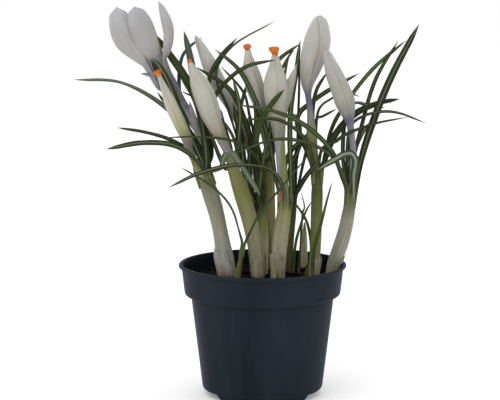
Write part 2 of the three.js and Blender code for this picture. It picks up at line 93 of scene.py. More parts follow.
def add_camera():
    """The camera, set up as the photo was taken."""
    data = bpy.data.cameras.new("camera")
    data.lens = LENS_MM
    data.clip_start = 0.05
    data.clip_end = 50
    camera = new_object("camera", data)
    reach = CAMERA_DISTANCE * math.cos(CAMERA_ELEVATION)
    camera.location = RIM + Vector((0, -reach, CAMERA_DISTANCE * math.sin(CAMERA_ELEVATION)))
    camera.rotation_euler = (math.pi / 2 - CAMERA_DOWN, 0, CAMERA_LEFT)
    bpy.context.scene.camera = camera


def add_lamps():
    """Large soft lamps round the plant, turned towards its middle."""
    for name, azimuth, elevation, distance, size, watts in LAMPS:
        data = bpy.data.lights.new(name, "AREA")
        data.shape = "DISK"
        data.size = size
        data.energy = watts
        lamp = new_object(name, data)
        a, e = math.radians(azimuth), math.radians(elevation)
        way = Vector((math.sin(a) * math.cos(e), -math.cos(a) * math.cos(e), math.sin(e)))
        lamp.location = LAMP_AIM + distance * way
        lamp.rotation_euler = way.to_track_quat("Z", "Y").to_euler()


def add_world():
    """Even white light from all round."""
    world = bpy.data.worlds.new("studio")
    bpy.context.scene.world = world
    world.use_nodes = True
    background = world.node_tree.nodes["Background"]
    background.inputs["Color"].default_value = (1, 1, 1, 1)
    background.inputs["Strength"].default_value = WORLD_LIGHT
    bpy.context.scene.view_settings.view_transform = "Standard"


# ---- Materials ----
def rgb(red, green, blue):
    """A colour as seen on screen, each part 0 to 255, as linear light."""
    parts = (red / 255, green / 255, blue / 255)
    return tuple(p / 12.92 if p <= 0.04045 else ((p + 0.055) / 1.055) ** 2.4 for p in parts)


class Shader:
    """A material with a Principled shader, and short ways to add nodes to it."""

    def __init__(self, name, roughness, specular, **sockets):
        self.material = bpy.data.materials.new(name)
        self.material.use_nodes = True
        self.tree = self.material.node_tree
        self.surface = self.tree.nodes["Principled BSDF"]
        sockets = {"Roughness": roughness, "Specular_IOR_Level": specular, **sockets}
        for socket, value in sockets.items():
            self.surface.inputs[socket.replace("_", " ")].default_value = value

    def node(self, kind, values=(), **settings):
        """A node of that kind. values maps its inputs to numbers, colours or other nodes' outputs."""
        made = self.tree.nodes.new("ShaderNode" + kind)
        for key, value in settings.items():
            setattr(made, key, value)
        for key, value in dict(values).items():
            if isinstance(value, bpy.types.NodeSocket):
                self.tree.links.new(value, made.inputs[key])
            else:
                made.inputs[key].default_value = value
        return made

    def attribute(self, name, output="Fac"):
        """A value that the mesh carries."""
        return self.node("Attribute", attribute_name=name).outputs[output]

    def math(self, operation, a, b=0.0, c=0.0):
        """A sum with numbers or other nodes' outputs."""
        return self.node("Math", {0: a, 1: b, 2: c}, operation=operation).outputs[0]

    def ramp(self, value, low, high, bottom=0.0, top=1.0):
        """value mapped smoothly from low..high to bottom..top."""
        values = {"Value": value, 1: low, 2: high, 3: bottom, 4: top}
        return self.node("MapRange", values, interpolation_type="SMOOTHSTEP").outputs[0]

    def mix(self, share, a, b, blend="MIX"):
        """Colours a and b mixed. Each is another node's output, or red, green and blue."""
        a, b = (c if isinstance(c, bpy.types.NodeSocket) else (*c, 1) for c in (a, b))
        made = self.node("Mix", {0: share, 6: a, 7: b}, data_type="RGBA", blend_type=blend)
        return made.outputs[2]

    def shaded_tint(self, shade):
        """The mesh's own colour, made lighter or darker by a shade."""
        grey = self.node("CombineColor", {0: shade, 1: shade, 2: shade}).outputs[0]
        return self.mix(1.0, self.attribute("tint", "Color"), grey, "MULTIPLY")

    def noise(self, vector, scale, detail=3.0, roughness=0.55):
        """Noise from about 0.2 to 0.8 at each place."""
        values = {"Vector": vector, "Scale": scale, "Detail": detail, "Roughness": roughness}
        return self.node("TexNoise", values).outputs["Fac"]

    def stretched(self, vector, x, y, z):
        """Places scaled along each axis, which stretches noise along the smaller ones."""
        return self.node("Mapping", {"Vector": vector, "Scale": (x, y, z)}).outputs[0]

    def object_place(self):
        """The place on the object, in metres."""
        return self.node("TexCoord").outputs["Object"]

    def paint(self, colour):
        """Gives the surface its colour."""
        self.tree.links.new(colour, self.surface.inputs["Base Color"])

    def bump(self, height, distance, strength=1.0):
        """Gives the surface small bumps, up to that distance in metres."""
        made = self.node("Bump", {"Height": height, "Distance": distance, "Strength": strength})
        self.tree.links.new(made.outputs[0], self.surface.inputs["Normal"])


def leaf_material():
    """Dark green with fine lines along the blade and a pale stripe along its middle. A stripe stronger
    than 1 is wider by as much."""
    s = Shader("leaf", 0.5, 0.16)
    grain = s.attribute("grain", "Vector")
    across = s.node("SeparateXYZ", {0: grain}).outputs
    lines = s.noise(s.stretched(grain, 9, 1, 1.2), 3.0)
    mottle = s.noise(s.object_place(), 160, 4)
    colour = s.shaded_tint(s.ramp(lines, 0.3, 0.7, 0.72, 1.25))
    colour = s.mix(s.ramp(mottle, 0.45, 0.8, 0, 0.3), colour, rgb(58, 68, 36))
    strength = s.attribute("stripe")
    middle = s.math("DIVIDE", s.math("ABSOLUTE", across[0]), s.math("MAXIMUM", strength, 1))
    stripe = s.math("MULTIPLY", s.ramp(middle, 0.1, 0.24, 1, 0), strength)
    colour = s.mix(stripe, colour, rgb(124, 133, 114))
    s.paint(colour)
    s.bump(lines, 0.00012, 0.5)
    return s.material


def tepal_material():
    """Grey-white and thin, with fine veins along the tepal and lilac feathering at its foot."""
    under_skin = dict(Subsurface_Weight=0.25, Subsurface_Radius=(0.004, 0.004, 0.003), Subsurface_Scale=0.3)
    s = Shader("tepal", 0.5, 0.35, **under_skin)
    grain = s.attribute("grain", "Vector")
    veins = s.noise(s.stretched(grain, 7, 7, 0.9), 2.6, 4)
    cloud = s.noise(s.object_place(), 70, 3)
    shade = s.math("MULTIPLY", s.ramp(veins, 0.3, 0.72, 1.05, 0.9), s.ramp(cloud, 0.3, 0.7, 0.95, 1.04))
    colour = s.shaded_tint(shade)
    feather = s.math("MULTIPLY", s.ramp(veins, 0.46, 0.62), s.attribute("stripe"))
    colour = s.mix(feather, colour, rgb(104, 92, 124))
    s.paint(colour)
    s.bump(veins, 0.0002, 0.6)
    return s.material


def sheath_material():
    """Papery and pale, with lines along the shoot and a few brown flecks near the soil."""
    under_skin = dict(Subsurface_Weight=0.12, Subsurface_Radius=(0.003, 0.003, 0.002), Subsurface_Scale=0.3)
    s = Shader("sheath", 0.55, 0.3, **under_skin)
    grain = s.attribute("grain", "Vector")
    lines = s.noise(s.stretched(grain, 6, 6, 0.8), 2.4, 4)
    flecks = s.noise(s.stretched(s.object_place(), 1, 1, 0.35), 420, 2)
    colour = s.shaded_tint(s.ramp(lines, 0.28, 0.72, 0.82, 1.12))
    green = s.math("MULTIPLY", s.ramp(lines, 0.5, 0.58), s.attribute("stripe"))
    colour = s.mix(green, colour, rgb(74, 88, 40))
    height = s.node("SeparateXYZ", {0: s.object_place()}).outputs[2]
    low = s.ramp(height, 0.066, 0.095, 0.75, 0)
    brown = s.math("MULTIPLY", s.ramp(flecks, 0.6, 0.72), low)
    colour = s.mix(brown, colour, rgb(92, 66, 40))
    s.paint(colour)
    s.bump(lines, 0.00025, 0.6)
    return s.material


def stigma_material():
    """Orange, in patches of two shades, with a grainy surface."""
    s = Shader("stigma", 0.6, 0.5)
    grains = s.noise(s.object_place(), 2600, 3)
    place = s.noise(s.object_place(), 500, 2)
    colour = s.mix(s.ramp(place, 0.35, 0.65), rgb(170, 72, 4), rgb(210, 122, 8))
    s.paint(colour)
    s.bump(grains, 0.0002, 0.8)
    return s.material


def soil_material():
    """Near-black peat with brown fibres and a few pale specks."""
    s = Shader("soil", 0.95, 0.03)
    place = s.object_place()
    clods = s.noise(place, 260, 6)
    fibres = s.noise(s.stretched(place, 1, 0.2, 1), 900, 2)
    colour = s.mix(s.ramp(clods, 0.35, 0.72), rgb(6, 5, 4), rgb(26, 20, 15))
    colour = s.mix(s.ramp(fibres, 0.66, 0.76, 0, 0.6), colour, rgb(74, 56, 40))
    s.paint(colour)
    s.bump(clods, 0.0012, 0.9)
    return s.material


def pot_material(name, light):
    """Dark green-black moulded plastic with a faint grain and scratches. light scales its colour and sheen;
    below 1 it is painted shade.
    """
    sheen = dict(Sheen_Weight=0.065 * light, Sheen_Roughness=0.3, Sheen_Tint=(0.22, 0.3, 0.9, 1))
    s = Shader(name, 0.5, 0.03, Specular_Tint=(0.75, 0.86, 1, 1), **sheen)
    place = s.object_place()
    cloud = s.noise(s.stretched(place, 1, 1, 0.35), 34, 4)
    streaks = s.noise(s.stretched(place, 1, 1, 0.06), 240, 3)
    scratches = s.noise(s.stretched(place, 0.15, 0.15, 1), 900, 2)
    grain = s.noise(place, 1500, 2)
    dark, pale = (tuple(c * light for c in rgb(*shade)) for shade in ((26, 31, 38), (36, 43, 50)))
    colour = s.mix(s.ramp(cloud, 0.3, 0.7), dark, pale)
    colour = s.mix(s.ramp(streaks, 0.4, 0.75, 0, 0.4 * light), colour, rgb(33, 41, 47))
    colour = s.mix(s.ramp(scratches, 0.76, 0.8, 0, 0.5 * light), colour, rgb(72, 80, 84))
    s.paint(colour)
    rough = s.ramp(cloud, 0.3, 0.7, 0.42, 0.55)
    s.tree.links.new(rough, s.surface.inputs["Roughness"])
    s.bump(grain, 0.00005, 0.5)
    return s.material


def floor_material():
    """Plain and pale, with a faint glow of its own."""
    glow = dict(Emission_Color=(1, 1, 1, 1), Emission_Strength=FLOOR_GLOW)
    return Shader("floor", 0.8, 0.1, Base_Color=(0.93, 0.93, 0.93, 1), **glow).material


# ---- Reading the CAD solids ----
LEAF_SIDES = 4  # a CAD leaf's two edges, its upper side and its keel
CLOSED_TIP_POWER = 10  # how bluntly a closed CAD stem ends


def rings_of(node):
    """The rings of points along a CAD solid that was bent along a curve, from its foot up.

    Its two ends are the only points that meet more than six others or exactly four. The foot is the
    flat end, or the lower of two flat ends. A pointed end comes back as a ring of one point.
    """
    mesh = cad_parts[node].data
    place_of, index = {}, []
    for vertex in mesh.vertices:
        index.append(place_of.setdefault(tuple(vertex.co), len(place_of)))
    places = np.array(list(place_of))
    meets = [set() for _ in places]
    for a, b in (edge.vertices for edge in mesh.edges):
        if index[a] != index[b]:
            meets[index[a]].add(index[b])
            meets[index[b]].add(index[a])
    ends = [i for i, near in enumerate(meets) if len(near) not in (5, 6)]
    if len(ends) != 2:
        raise ValueError(f"{node} isn't one solid along a curve: {len(ends)} ends")

    def point_length(end):
        """How far an end stands out from the ring next to it, or 0 for a flat end."""
        ring = places[list(meets[end])]
        size = np.linalg.norm(ring - ring.mean(0), axis=1).max()
        length = np.linalg.norm(places[end] - ring.mean(0))
        return length if length > 0.6 * size else 0.0

    foot = min(ends, key=lambda end: (point_length(end) > 0, places[end][2]))
    rings, seen, edge = [], {foot}, set(meets[foot])
    while edge:
        rings.append(walk_round(edge, meets))
        seen |= edge
        edge = {j for i in edge for j in meets[i]} - seen
    rings = [places[ring] for ring in rings]
    tip_is_flat = point_length(next(end for end in ends if end != foot)) == 0
    return rings[:-1] if tip_is_flat else rings


def walk_round(ring, meets):
    """A ring's points in the order in which they follow each other."""
    order = [min(ring)]
    while len(order) < len(ring):
        order.append(min(i for i in meets[order[-1]] & ring if i not in order))
    return order


def smooth(values, share):
    """The value at that share of the way along a smooth line through evenly spaced values."""
    place = min(max(share, 0.0), 1.0) * (len(values) - 1)
    i = min(int(place), len(values) - 2)
    t = place - i
    b, c = values[i], values[i + 1]
    a = values[i - 1] if i > 0 else 2 * b - c
    d = values[i + 2] if i + 2 < len(values) else 2 * c - b
    return b + 0.5 * t * ((c - a) + t * ((2 * a - 5 * b + 4 * c - d) + t * (3 * (b - c) + d - a)))


def unit(vector):
    """The vector made 1 long."""
    return vector / max(np.linalg.norm(vector), 1e-12)


class Stem:
    """A round CAD solid as a line with a radius. One that ends in a rounded tip is closed."""

    def __init__(self, node):
        rings = rings_of(node)
        self.middles = np.array([ring.mean(0) for ring in rings])
        self.length = float(np.linalg.norm(np.diff(self.middles, axis=0), axis=1).sum())
        self.closed = len(rings[-1]) == 1
        radii = np.array([np.linalg.norm(r - r.mean(0), axis=1).mean() for r in rings])
        if self.closed:
            shares = np.linspace(0, 1, len(radii))[:-1]
            full = radii[:-1] / np.sqrt(1 - shares**CLOSED_TIP_POWER)
            radii = np.append(full, full[-1])
        self.radii = radii

    def way(self, share):
        """The way the stem points there."""
        share = min(max(share, 0.02), 0.98)
        return unit(smooth(self.middles, share + 0.02) - smooth(self.middles, share - 0.02))

    def middle(self, share):
        """The middle there. Past either end the stem runs straight on."""
        beyond = share - min(max(share, 0), 1)
        return smooth(self.middles, share) + beyond * self.length * self.way(share)

    def radius(self, share):
        """The radius there, down to nothing at a closed tip."""
        radius = max(float(smooth(self.radii, share)), 0)
        return radius * math.sqrt(max(1 - share**CLOSED_TIP_POWER, 0)) if self.closed else radius

    def ring(self, share, angles, out=0.0):
        """Points on its surface at angles from the front towards the right, moved out by a length."""
        way = self.way(share)
        right = unit(np.cross(way, FRONT))
        front = np.cross(right, way)
        angles = np.asarray(angles, float)
        reach = np.broadcast_to(self.radius(share) + np.asarray(out), angles.shape)[:, None]
        sine, cosine = np.sin(angles)[:, None], np.cos(angles)[:, None]
        return self.middle(share) + reach * (sine * right + cosine * front)


def full_turn(count):
    """Evenly spaced angles all the way round, starting at the back."""
    return np.arange(count) * 2 * math.pi / count - math.pi


def wobble(angles, height, scale, seed):
    """Smooth noise round a stem, from about -0.5 to 0.5, at one height."""
    around = [(math.cos(a) * scale + seed, math.sin(a) * scale, height) for a in angles]
    return np.array([noise.noise(place) for place in around])


class Blade:
    """A flat solid as a line with a half width to its right and an upper side."""

    def __init__(self, middles, sides, uppers):
        self.middles, self.sides, self.uppers = (np.array(v, float) for v in (middles, sides, uppers))
        self.length = float(np.linalg.norm(np.diff(self.middles, axis=0), axis=1).sum())

    def place(self, share):
        """The middle, the half width to the right, and the upper side there."""
        middle = smooth(self.middles, share)
        way = unit(smooth(self.middles, share + 0.02) - smooth(self.middles, share - 0.02))
        side = smooth(self.sides, share)
        side = side - way * (side @ way)
        upper = smooth(self.uppers, share)
        upper = unit(upper - way * (upper @ way))
        to_the_right = np.cross(upper, side) @ way > 0
        return middle, side if to_the_right else -side, upper, way


def blade_of(node):
    """The blade of a CAD solid. At its foot, a leaf's upper side is the one nearer its edges, and a
    tepal's is the one in front. From there on it turns over nowhere."""
    middles, sides, uppers = [], [], []
    for ring in rings_of(node):
        if len(ring) == 1:
            middles.append(ring[0])
            sides.append(sides[-1] * 0)
            uppers.append(uppers[-1])
            continue
        count = len(ring)
        half = count // 2
        wide = int(np.argmax([np.linalg.norm(ring[i] - ring[i + half]) for i in range(half)]))
        middle = (ring[wide] + ring[wide + half]) / 2
        side = (ring[wide + half] - ring[wide]) / 2
        over = ring[(wide + count // 4) % count] - middle
        under = ring[(wide + half + count // 4) % count] - middle
        upper = over if np.linalg.norm(over) <= np.linalg.norm(under) else under
        if uppers:
            before = uppers[-1]
        else:
            before = upper if count == LEAF_SIDES else FRONT
        if upper @ before < 0:
            upper = -upper
        if side @ (sides[-1] if sides else np.array([1.0, 0, 0])) < 0:
            side = -side
        middles.append(middle)
        sides.append(side)
        uppers.append(unit(upper))
    return Blade(middles, sides, uppers)


FRONT_FACE, TOP_FACE = (0, -1, 0.1), (0, -0.8, 0.7)  # the ways that an upper side may face
BLADE_STEPS = 12


def blade_along(points, width, face=FRONT_FACE, taper=0.0):
    """A blade along given points, ending in a point as the CAD ones do. taper narrows its top."""
    points = np.array(points, float)
    middles, sides, uppers = [], [], []
    for i in range(BLADE_STEPS + 1):
        t = i / BLADE_STEPS
        middles.append(smooth(points, t))
        way = unit(smooth(points, min(t + 0.03, 1)) - smooth(points, max(t - 0.03, 0)))
        side = unit(np.cross(way, np.array(face, float)))
        spread = (0.6 + 0.4 * min(t / 0.4, 1)) * (1 - taper * t)
        sides.append(side * width / 2 * spread * math.sqrt(max(1 - t**4, 0)))
        uppers.append(np.cross(side, way))
    return Blade(middles, sides, uppers)


# ---- Making meshes ----
class Skin:
    """A mesh in the making: closed loops of points joined row by row, each point with a colour, a
    place in the grain, and the strength of its stripe."""

    def __init__(self):
        self.points, self.faces, self.tints, self.grains, self.stripes = [], [], [], [], []
        self.starts = []  # where each row of the present body begins

    def row(self, points, tint, grain, stripe=0.0):
        """Adds a row. Its colour and its stripe are one value, or one for each point."""
        count = len(points)
        self.starts.append(len(self.points))
        self.points += [tuple(p) for p in points]
        self.tints += [tuple(c) for c in tint] if np.ndim(tint) == 2 else [tuple(tint)] * count
        self.grains += [tuple(g) for g in grain]
        self.stripes += list(stripe) if np.ndim(stripe) else [stripe] * count

    def sheet_row(self, outer, inner, tint, grain, stripe=0.0):
        """Adds a row of a thin sheet: along its outer points, then back along its inner ones."""
        self.row([*outer, *inner[::-1]], [*tint, *tint[::-1]], [*grain, *grain[::-1]], stripe)

    def close(self, tip=None):
        """Joins the rows into a closed body, which ends flat or in a tip past the last row."""
        count = len(self.points) - self.starts[-1]
        for low, high in zip(self.starts, self.starts[1:]):
            for i in range(count):
                j = (i + 1) % count
                self.faces.append((low + i, low + j, high + j, high + i))
        first, last = self.starts[0], self.starts[-1]
        self.fan(first, np.mean(self.points[first : first + count], axis=0), count, down=True)
        flat = np.mean(self.points[last : last + count], axis=0)
        self.fan(last, flat if tip is None else tip, count, down=False)
        self.starts = []

    def fan(self, start, middle, count, down):
        """Closes a loop with triangles to its middle."""
        centre = len(self.points)
        self.points.append(tuple(middle))
        for values in (self.tints, self.grains, self.stripes):
            values.append(values[start])
        for i in range(count):
            a, b = start + i, start + (i + 1) % count
            self.faces.append((b, a, centre) if down else (a, b, centre))

    def build(self, name, material, nodes=()):
        """Makes the mesh, with what its points carry, into a piece."""
        mesh = new_mesh(name, self.points, self.faces)
        opaque = np.ones((len(self.points), 1))
        tint = mesh.color_attributes.new("tint", "FLOAT_COLOR", "POINT")
        tint.data.foreach_set("color", np.hstack([self.tints, opaque]).ravel())
        grain = mesh.attributes.new("grain", "FLOAT_VECTOR", "POINT")
        grain.data.foreach_set("vector", np.array(self.grains, float).ravel())
        stripe = mesh.attributes.new("stripe", "FLOAT", "POINT")
        stripe.data.foreach_set("value", np.array(self.stripes, float))
        mesh.materials.append(material)
        piece(name, mesh, nodes)


def piece(name, mesh, nodes=()):
    """A smooth object of the mesh, tied to the frame. nodes are the CAD nodes that it stands for."""
    mesh.polygons.foreach_set("use_smooth", [True] * len(mesh.polygons))
    made = new_object(name, mesh)
    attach(made, "root")
    if nodes:
        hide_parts(*nodes)


def shades(stops):
    """Colour stops, each given as a share with red, green and blue from 0 to 255, in linear light."""
    return [(share, rgb(*colour)) for share, *colour in stops]


def blend_stops(stops, share):
    """The colour at that share along (share, colour) stops."""
    for (low, a), (high, b) in zip(stops, stops[1:]):
        if share <= high:
            t = min(max((share - low) / (high - low), 0), 1)
            return tuple(p + (q - p) * t for p, q in zip(a, b))
    return stops[-1][1]


def round_grain(angles, seed, along):
    """Places in the grain round a stem."""
    return [(math.cos(a) + seed, math.sin(a), along) for a in angles]


# ---- Pot ----
POT_TURNS = 240
POT_FLOOR = 0.7 * MM  # faces above this height may belong to its inside
CREASE = math.radians(32)
CORNER_RADIUS = 0.45 * MM
CORNER_STEPS = 4

# The ring that the pot stands on, and the opening at each side of it, as in the CAD solid.
SKIRT_RADIUS = 30.5 * MM
SKIRT_TOP_RADIUS = 31.1 * MM
SKIRT_TOP = 4.2 * MM
SKIRT_WALL = 1.2 * MM
NOTCH_HEIGHT = 6 * MM
NOTCH_FOOT = 21.5 * MM  # half of its width
NOTCH_HEAD = 18.5 * MM
NOTCH_ROUND = 2.4 * MM
NOTCH_STEPS = 8
NOTCH_REACH = (14 * MM, 36 * MM)  # how far from the axis it begins and ends


def profile_of(node):
    """The (radius, height) points of a turned CAD solid, from the middle of its underside outwards."""
    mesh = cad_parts[node].data
    near_zero = 1e-6
    number, meets = {}, {}
    for vertex in mesh.vertices:
        if abs(vertex.co.y) < near_zero and vertex.co.x > -near_zero:
            key = (round(vertex.co.x / near_zero), round(vertex.co.z / near_zero))
            number[vertex.index] = key
            meets.setdefault(key, set())
    for a, b in (edge.vertices for edge in mesh.edges):
        if a in number and b in number and number[a] != number[b]:
            meets[number[a]].add(number[b])
            meets[number[b]].add(number[a])
    path = [min(meets)]
    while True:
        onwards = [key for key in meets[path[-1]] if key not in path]
        if not onwards:
            return [(x * near_zero, z * near_zero) for x, z in path]
        path.append(max(onwards))


def rounded(profile):
    """The profile with each corner off the axis turned into a small curve."""
    points = [np.array(p) for p in profile]
    out = [points[0]]
    for a, b, c in zip(points, points[1:], points[2:]):
        cut = min(CORNER_RADIUS, 0.4 * np.linalg.norm(a - b), 0.4 * np.linalg.norm(c - b))
        start, end = b + cut * unit(a - b), b + cut * unit(c - b)
        for i in range(CORNER_STEPS + 1):
            t = i / CORNER_STEPS
            out.append((1 - t) ** 2 * start + 2 * t * (1 - t) * b + t**2 * end)
    return out + [points[-1]]


def turned(name, profile, segments):
    """A mesh of a profile turned about the axis. It starts and ends on the axis, or is a closed loop."""
    on_axis = profile[0][0] < 1e-9
    rings = profile[1:-1] if on_axis else profile
    points, faces = [], []
    for radius, height in rings:
        for i in range(segments):
            a = 2 * math.pi * i / segments
            points.append((radius * math.cos(a), radius * math.sin(a), height))
    rows = len(rings)
    for row in range(rows - 1 if on_axis else rows):
        low, high = row * segments, (row + 1) % rows * segments
        faces += [(low + i, low + (i + 1) % segments, high + (i + 1) % segments, high + i)
                  for i in range(segments)]
    if on_axis:
        last = (rows - 1) * segments
        foot, top = len(points), len(points) + 1
        points += [(0, 0, profile[0][1]), (0, 0, profile[-1][1])]
        faces += [(foot, (i + 1) % segments, i) for i in range(segments)]
        faces += [(last + i, last + (i + 1) % segments, top) for i in range(segments)]
    return new_mesh(name, points, faces)


def notch_cutter(side):
    """An arched prism that runs out to one side, -1 or 1, under the heel of the pot."""
    half = []
    for i in range(NOTCH_STEPS + 1):
        turn = i / NOTCH_STEPS * math.pi / 2
        y = NOTCH_HEAD - NOTCH_ROUND * (1 - math.cos(turn))
        half.append((y, NOTCH_HEIGHT - NOTCH_ROUND * (1 - math.sin(turn))))
    outline = [(-NOTCH_FOOT, -MM), (NOTCH_FOOT, -MM), (NOTCH_FOOT, 0), *half]
    outline += [(-y, z) for y, z in reversed(half)] + [(-NOTCH_FOOT, 0)]
    points = [(side * reach, side * y, z) for reach in NOTCH_REACH for y, z in outline]
    count = len(outline)
    faces = [tuple(reversed(range(count))), tuple(range(count, 2 * count))]
    faces += [(i, (i + 1) % count, count + (i + 1) % count, count + i) for i in range(count)]
    return new_mesh("notch", points, faces)


def joined(mesh, others, operation):
    """mesh with the others added to it or cut from it."""
    made = [new_object("solid", each) for each in (mesh, *others)]
    for other in made[1:]:
        modifier = made[0].modifiers.new("join", "BOOLEAN")
        modifier.operation = operation
        modifier.solver = "EXACT"
        modifier.object = other
    bpy.context.view_layer.update()
    evaluated = made[0].evaluated_get(bpy.context.evaluated_depsgraph_get())
    result = bpy.data.meshes.new_from_object(evaluated)
    for each in made:
        bpy.data.objects.remove(each)
    return result


def weld(mesh):
    """Joins points that a boolean left all but touching."""
    made = bmesh.new()
    made.from_mesh(mesh)
    bmesh.ops.remove_doubles(made, verts=made.verts, dist=0.003 * MM)
    bmesh.ops.dissolve_degenerate(made, edges=made.edges, dist=0.001 * MM)
    made.to_mesh(mesh)
    made.free()


def is_inside(face):
    """Whether a face of the pot looks in towards the soil."""
    away = Vector((face.center.x, face.center.y, 0)).normalized()
    looks_in = face.normal.dot(away) < -0.2
    is_floor = face.normal.z > 0.5 and face.center.length < 1.2 * SKIRT_RADIUS
    return face.center.z > POT_FLOOR and (looks_in or is_floor)


def add_pot(outside, inside):
    """The pot: a turned bowl, joined to the ring that it stands on."""
    bowl = turned("pot_shell", rounded(profile_of("pot")), POT_TURNS)
    ring = [
        (SKIRT_RADIUS - SKIRT_WALL, 0),
        (SKIRT_RADIUS - 0.3 * MM, 0),
        (SKIRT_RADIUS, 0.3 * MM),
        (SKIRT_TOP_RADIUS, SKIRT_TOP),
        (SKIRT_TOP_RADIUS - SKIRT_WALL, SKIRT_TOP - 0.5 * MM),
    ]
    skirt = joined(turned("skirt", ring, POT_TURNS), [notch_cutter(-1), notch_cutter(1)], "DIFFERENCE")
    mesh = joined(bowl, [skirt], "UNION")
    weld(mesh)
    mesh.materials.clear()
    for material in (outside, inside):
        mesh.materials.append(material)
    # Faces that look in towards the soil get the darker inside material: painted shade.
    mesh.polygons.foreach_set("material_index", [int(is_inside(face)) for face in mesh.polygons])
    mesh.set_sharp_from_angle(angle=CREASE)
    piece("pot_shell", mesh, ["pot"])


# ---- Soil ----
SOIL_LOW, SOIL_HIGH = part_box("soil")
SOIL_RADIUS = SOIL_HIGH.x
SOIL_GAP = 0.3 * MM  # between it and the pot
SOIL_SKIN = 0.5 * MM  # points within this depth belong to its surface
SOIL_CROWN = 0.8 * MM
SOIL_HEAP = 1.1 * MM
SOIL_TURNS = 200
SOIL_RINGS = 64
CLODS = 320


def soil_height(x, y):
    """The height of the soil's surface: domed, with small heaps."""
    away = math.hypot(x, y) / SOIL_RADIUS
    heap = noise.noise((x * 110, y * 110, 3)) * 0.6 + noise.noise((x * 330, y * 330, 7)) * 0.4
    return SOIL_HIGH.z - SOIL_CROWN * away**2 + SOIL_HEAP * heap


def add_clod(made, draw):
    """A crumb of soil, lying somewhere on the surface."""
    reach, turn = SOIL_RADIUS * math.sqrt(draw.random()) * 0.96, draw.uniform(0, 2 * math.pi)
    x, y = reach * math.cos(turn), reach * math.sin(turn)
    size = draw.uniform(0.35, 1.4) * MM
    seed = Vector((draw.uniform(0, 50), 0, 0))
    for vertex in bmesh.ops.create_icosphere(made, subdivisions=2, radius=size)["verts"]:
        vertex.co *= 1 + 0.45 * noise.noise(vertex.co / size * 1.3 + seed)
        vertex.co.z *= 0.75
        vertex.co += Vector((x, y, soil_height(x, y) + 0.3 * size))


def add_soil(material):
    """The soil fills the pot to just under its lip, with loose crumbs lying on it."""
    whole = profile_of("pot")
    rim = max(range(len(whole)), key=lambda i: whole[i][1])
    inside = [(r - SOIL_GAP, z + SOIL_GAP) for r, z in whole[rim + 1 : -1]][::-1]
    side = [(r, z) for r, z in inside if z < SOIL_HIGH.z - 2 * MM]
    flat = [(SOIL_RADIUS * (1 - i / SOIL_RINGS), SOIL_HIGH.z) for i in range(SOIL_RINGS)]
    profile = [(0, SOIL_LOW.z), *side, *flat, (0, SOIL_HIGH.z)]
    mesh = turned("soil_surface", profile, SOIL_TURNS)
    made = bmesh.new()
    made.from_mesh(mesh)
    for vertex in made.verts:
        if vertex.co.z > SOIL_HIGH.z - SOIL_SKIN:
            vertex.co.z = soil_height(vertex.co.x, vertex.co.y)
    draw = random.Random(4)
    for _ in range(CLODS):
        add_clod(made, draw)
    made.to_mesh(mesh)
    made.free()
    mesh.materials.append(material)
    piece("soil_surface", mesh, ["soil"])


# ---- Sheaths ----
SHEATH_TURNS = 64
SHEATH_ROWS = 56
SHEATH_MOUTH = 4 * MM  # how deep the mouth is hollow
PAPER = 0.6 * MM  # the step at the edge of a sheath's outermost layer
SHEATH_GRAIN = 0.05  # the length over which the lines along a sheath change

WHITE_PAPER, CREAM, BROWN = (152, 149, 142), (142, 138, 120), (98, 86, 60)
LIME, OLIVE, GREEN, DEEP_GREEN = (118, 118, 64), (88, 84, 50), (76, 84, 42), (52, 62, 30)

# stops: colours from the foot up. stripe: strength of the green lines near the top. edge: the angle
# of the papery edge, in radians. rise: how far the mouth runs up there, in millimetres. slim: how much
# the top is narrowed, and taper: the whole sheath. clasp: how far the high side of the mouth bends in.
SHEATHS = {
    "left": dict(
        stripe=0.7, edge=-0.7, rise=7,
        stops=((0, *BROWN), (0.1, 158, 155, 146), (0.3, *WHITE_PAPER), (0.6, *CREAM),
               (0.86, 130, 127, 110), (0.95, 104, 106, 74), (1, *GREEN))),
    "left_inner": dict(
        stripe=0.5, edge=1.2, rise=2, slim=0, taper=0.5,
        stops=((0, 128, 124, 104), (0.4, 132, 134, 98), (0.7, *LIME), (1, *GREEN))),
    "small": dict(
        stripe=0.3, edge=1, rise=2, slim=0, taper=0.4,
        stops=((0, *OLIVE), (0.4, 106, 112, 56), (1, 90, 98, 42))),
    "middle": dict(
        stripe=0.35, edge=-0.2, rise=13, clasp=0.12,
        stops=((0, 128, 124, 108), (0.3, 142, 139, 112), (0.52, 138, 134, 100), (0.68, 122, 120, 76),
               (0.85, *LIME), (1, 126, 128, 84))),
    # The inner sheath's colours are lightened to offset the shade it stands in among the other shoots:
    # painted light.
    "inner": dict(
        stripe=0.3, edge=0.4, rise=6,
        stops=((0, 146, 142, 112), (0.3, 184, 180, 154), (0.6, 178, 176, 146), (0.85, 132, 136, 76),
               (1, *GREEN))),
    "tall": dict(
        stripe=0.3, edge=1, rise=6,
        stops=((0, 122, 116, 76), (0.6, 138, 132, 80), (1, 120, 124, 64))),
    "front": dict(
        stripe=0.45, edge=-0.5, rise=9,
        stops=((0, 128, 123, 94), (0.2, 142, 139, 112), (0.5, 154, 151, 126), (0.82, 138, 135, 104),
               (1, *LIME))),
    "back": dict(
        stripe=0.5, edge=0, rise=2,
        stops=((0, *OLIVE), (0.5, 90, 88, 56), (0.7, *GREEN), (1, *DEEP_GREEN))),
    "right": dict(
        stripe=0.8, edge=-0.6, rise=7,
        stops=((0, 152, 148, 122), (0.14, 142, 140, 112), (0.34, 114, 120, 66), (0.6, 108, 114, 60),
               (0.85, 78, 86, 42), (1, *DEEP_GREEN))),
    "edge": dict(
        stripe=0.35, edge=-0.4, rise=7,
        stops=((0, 118, 108, 70), (0.14, 138, 132, 104), (0.4, 140, 138, 126), (0.8, *CREAM),
               (1, *GREEN))),
}


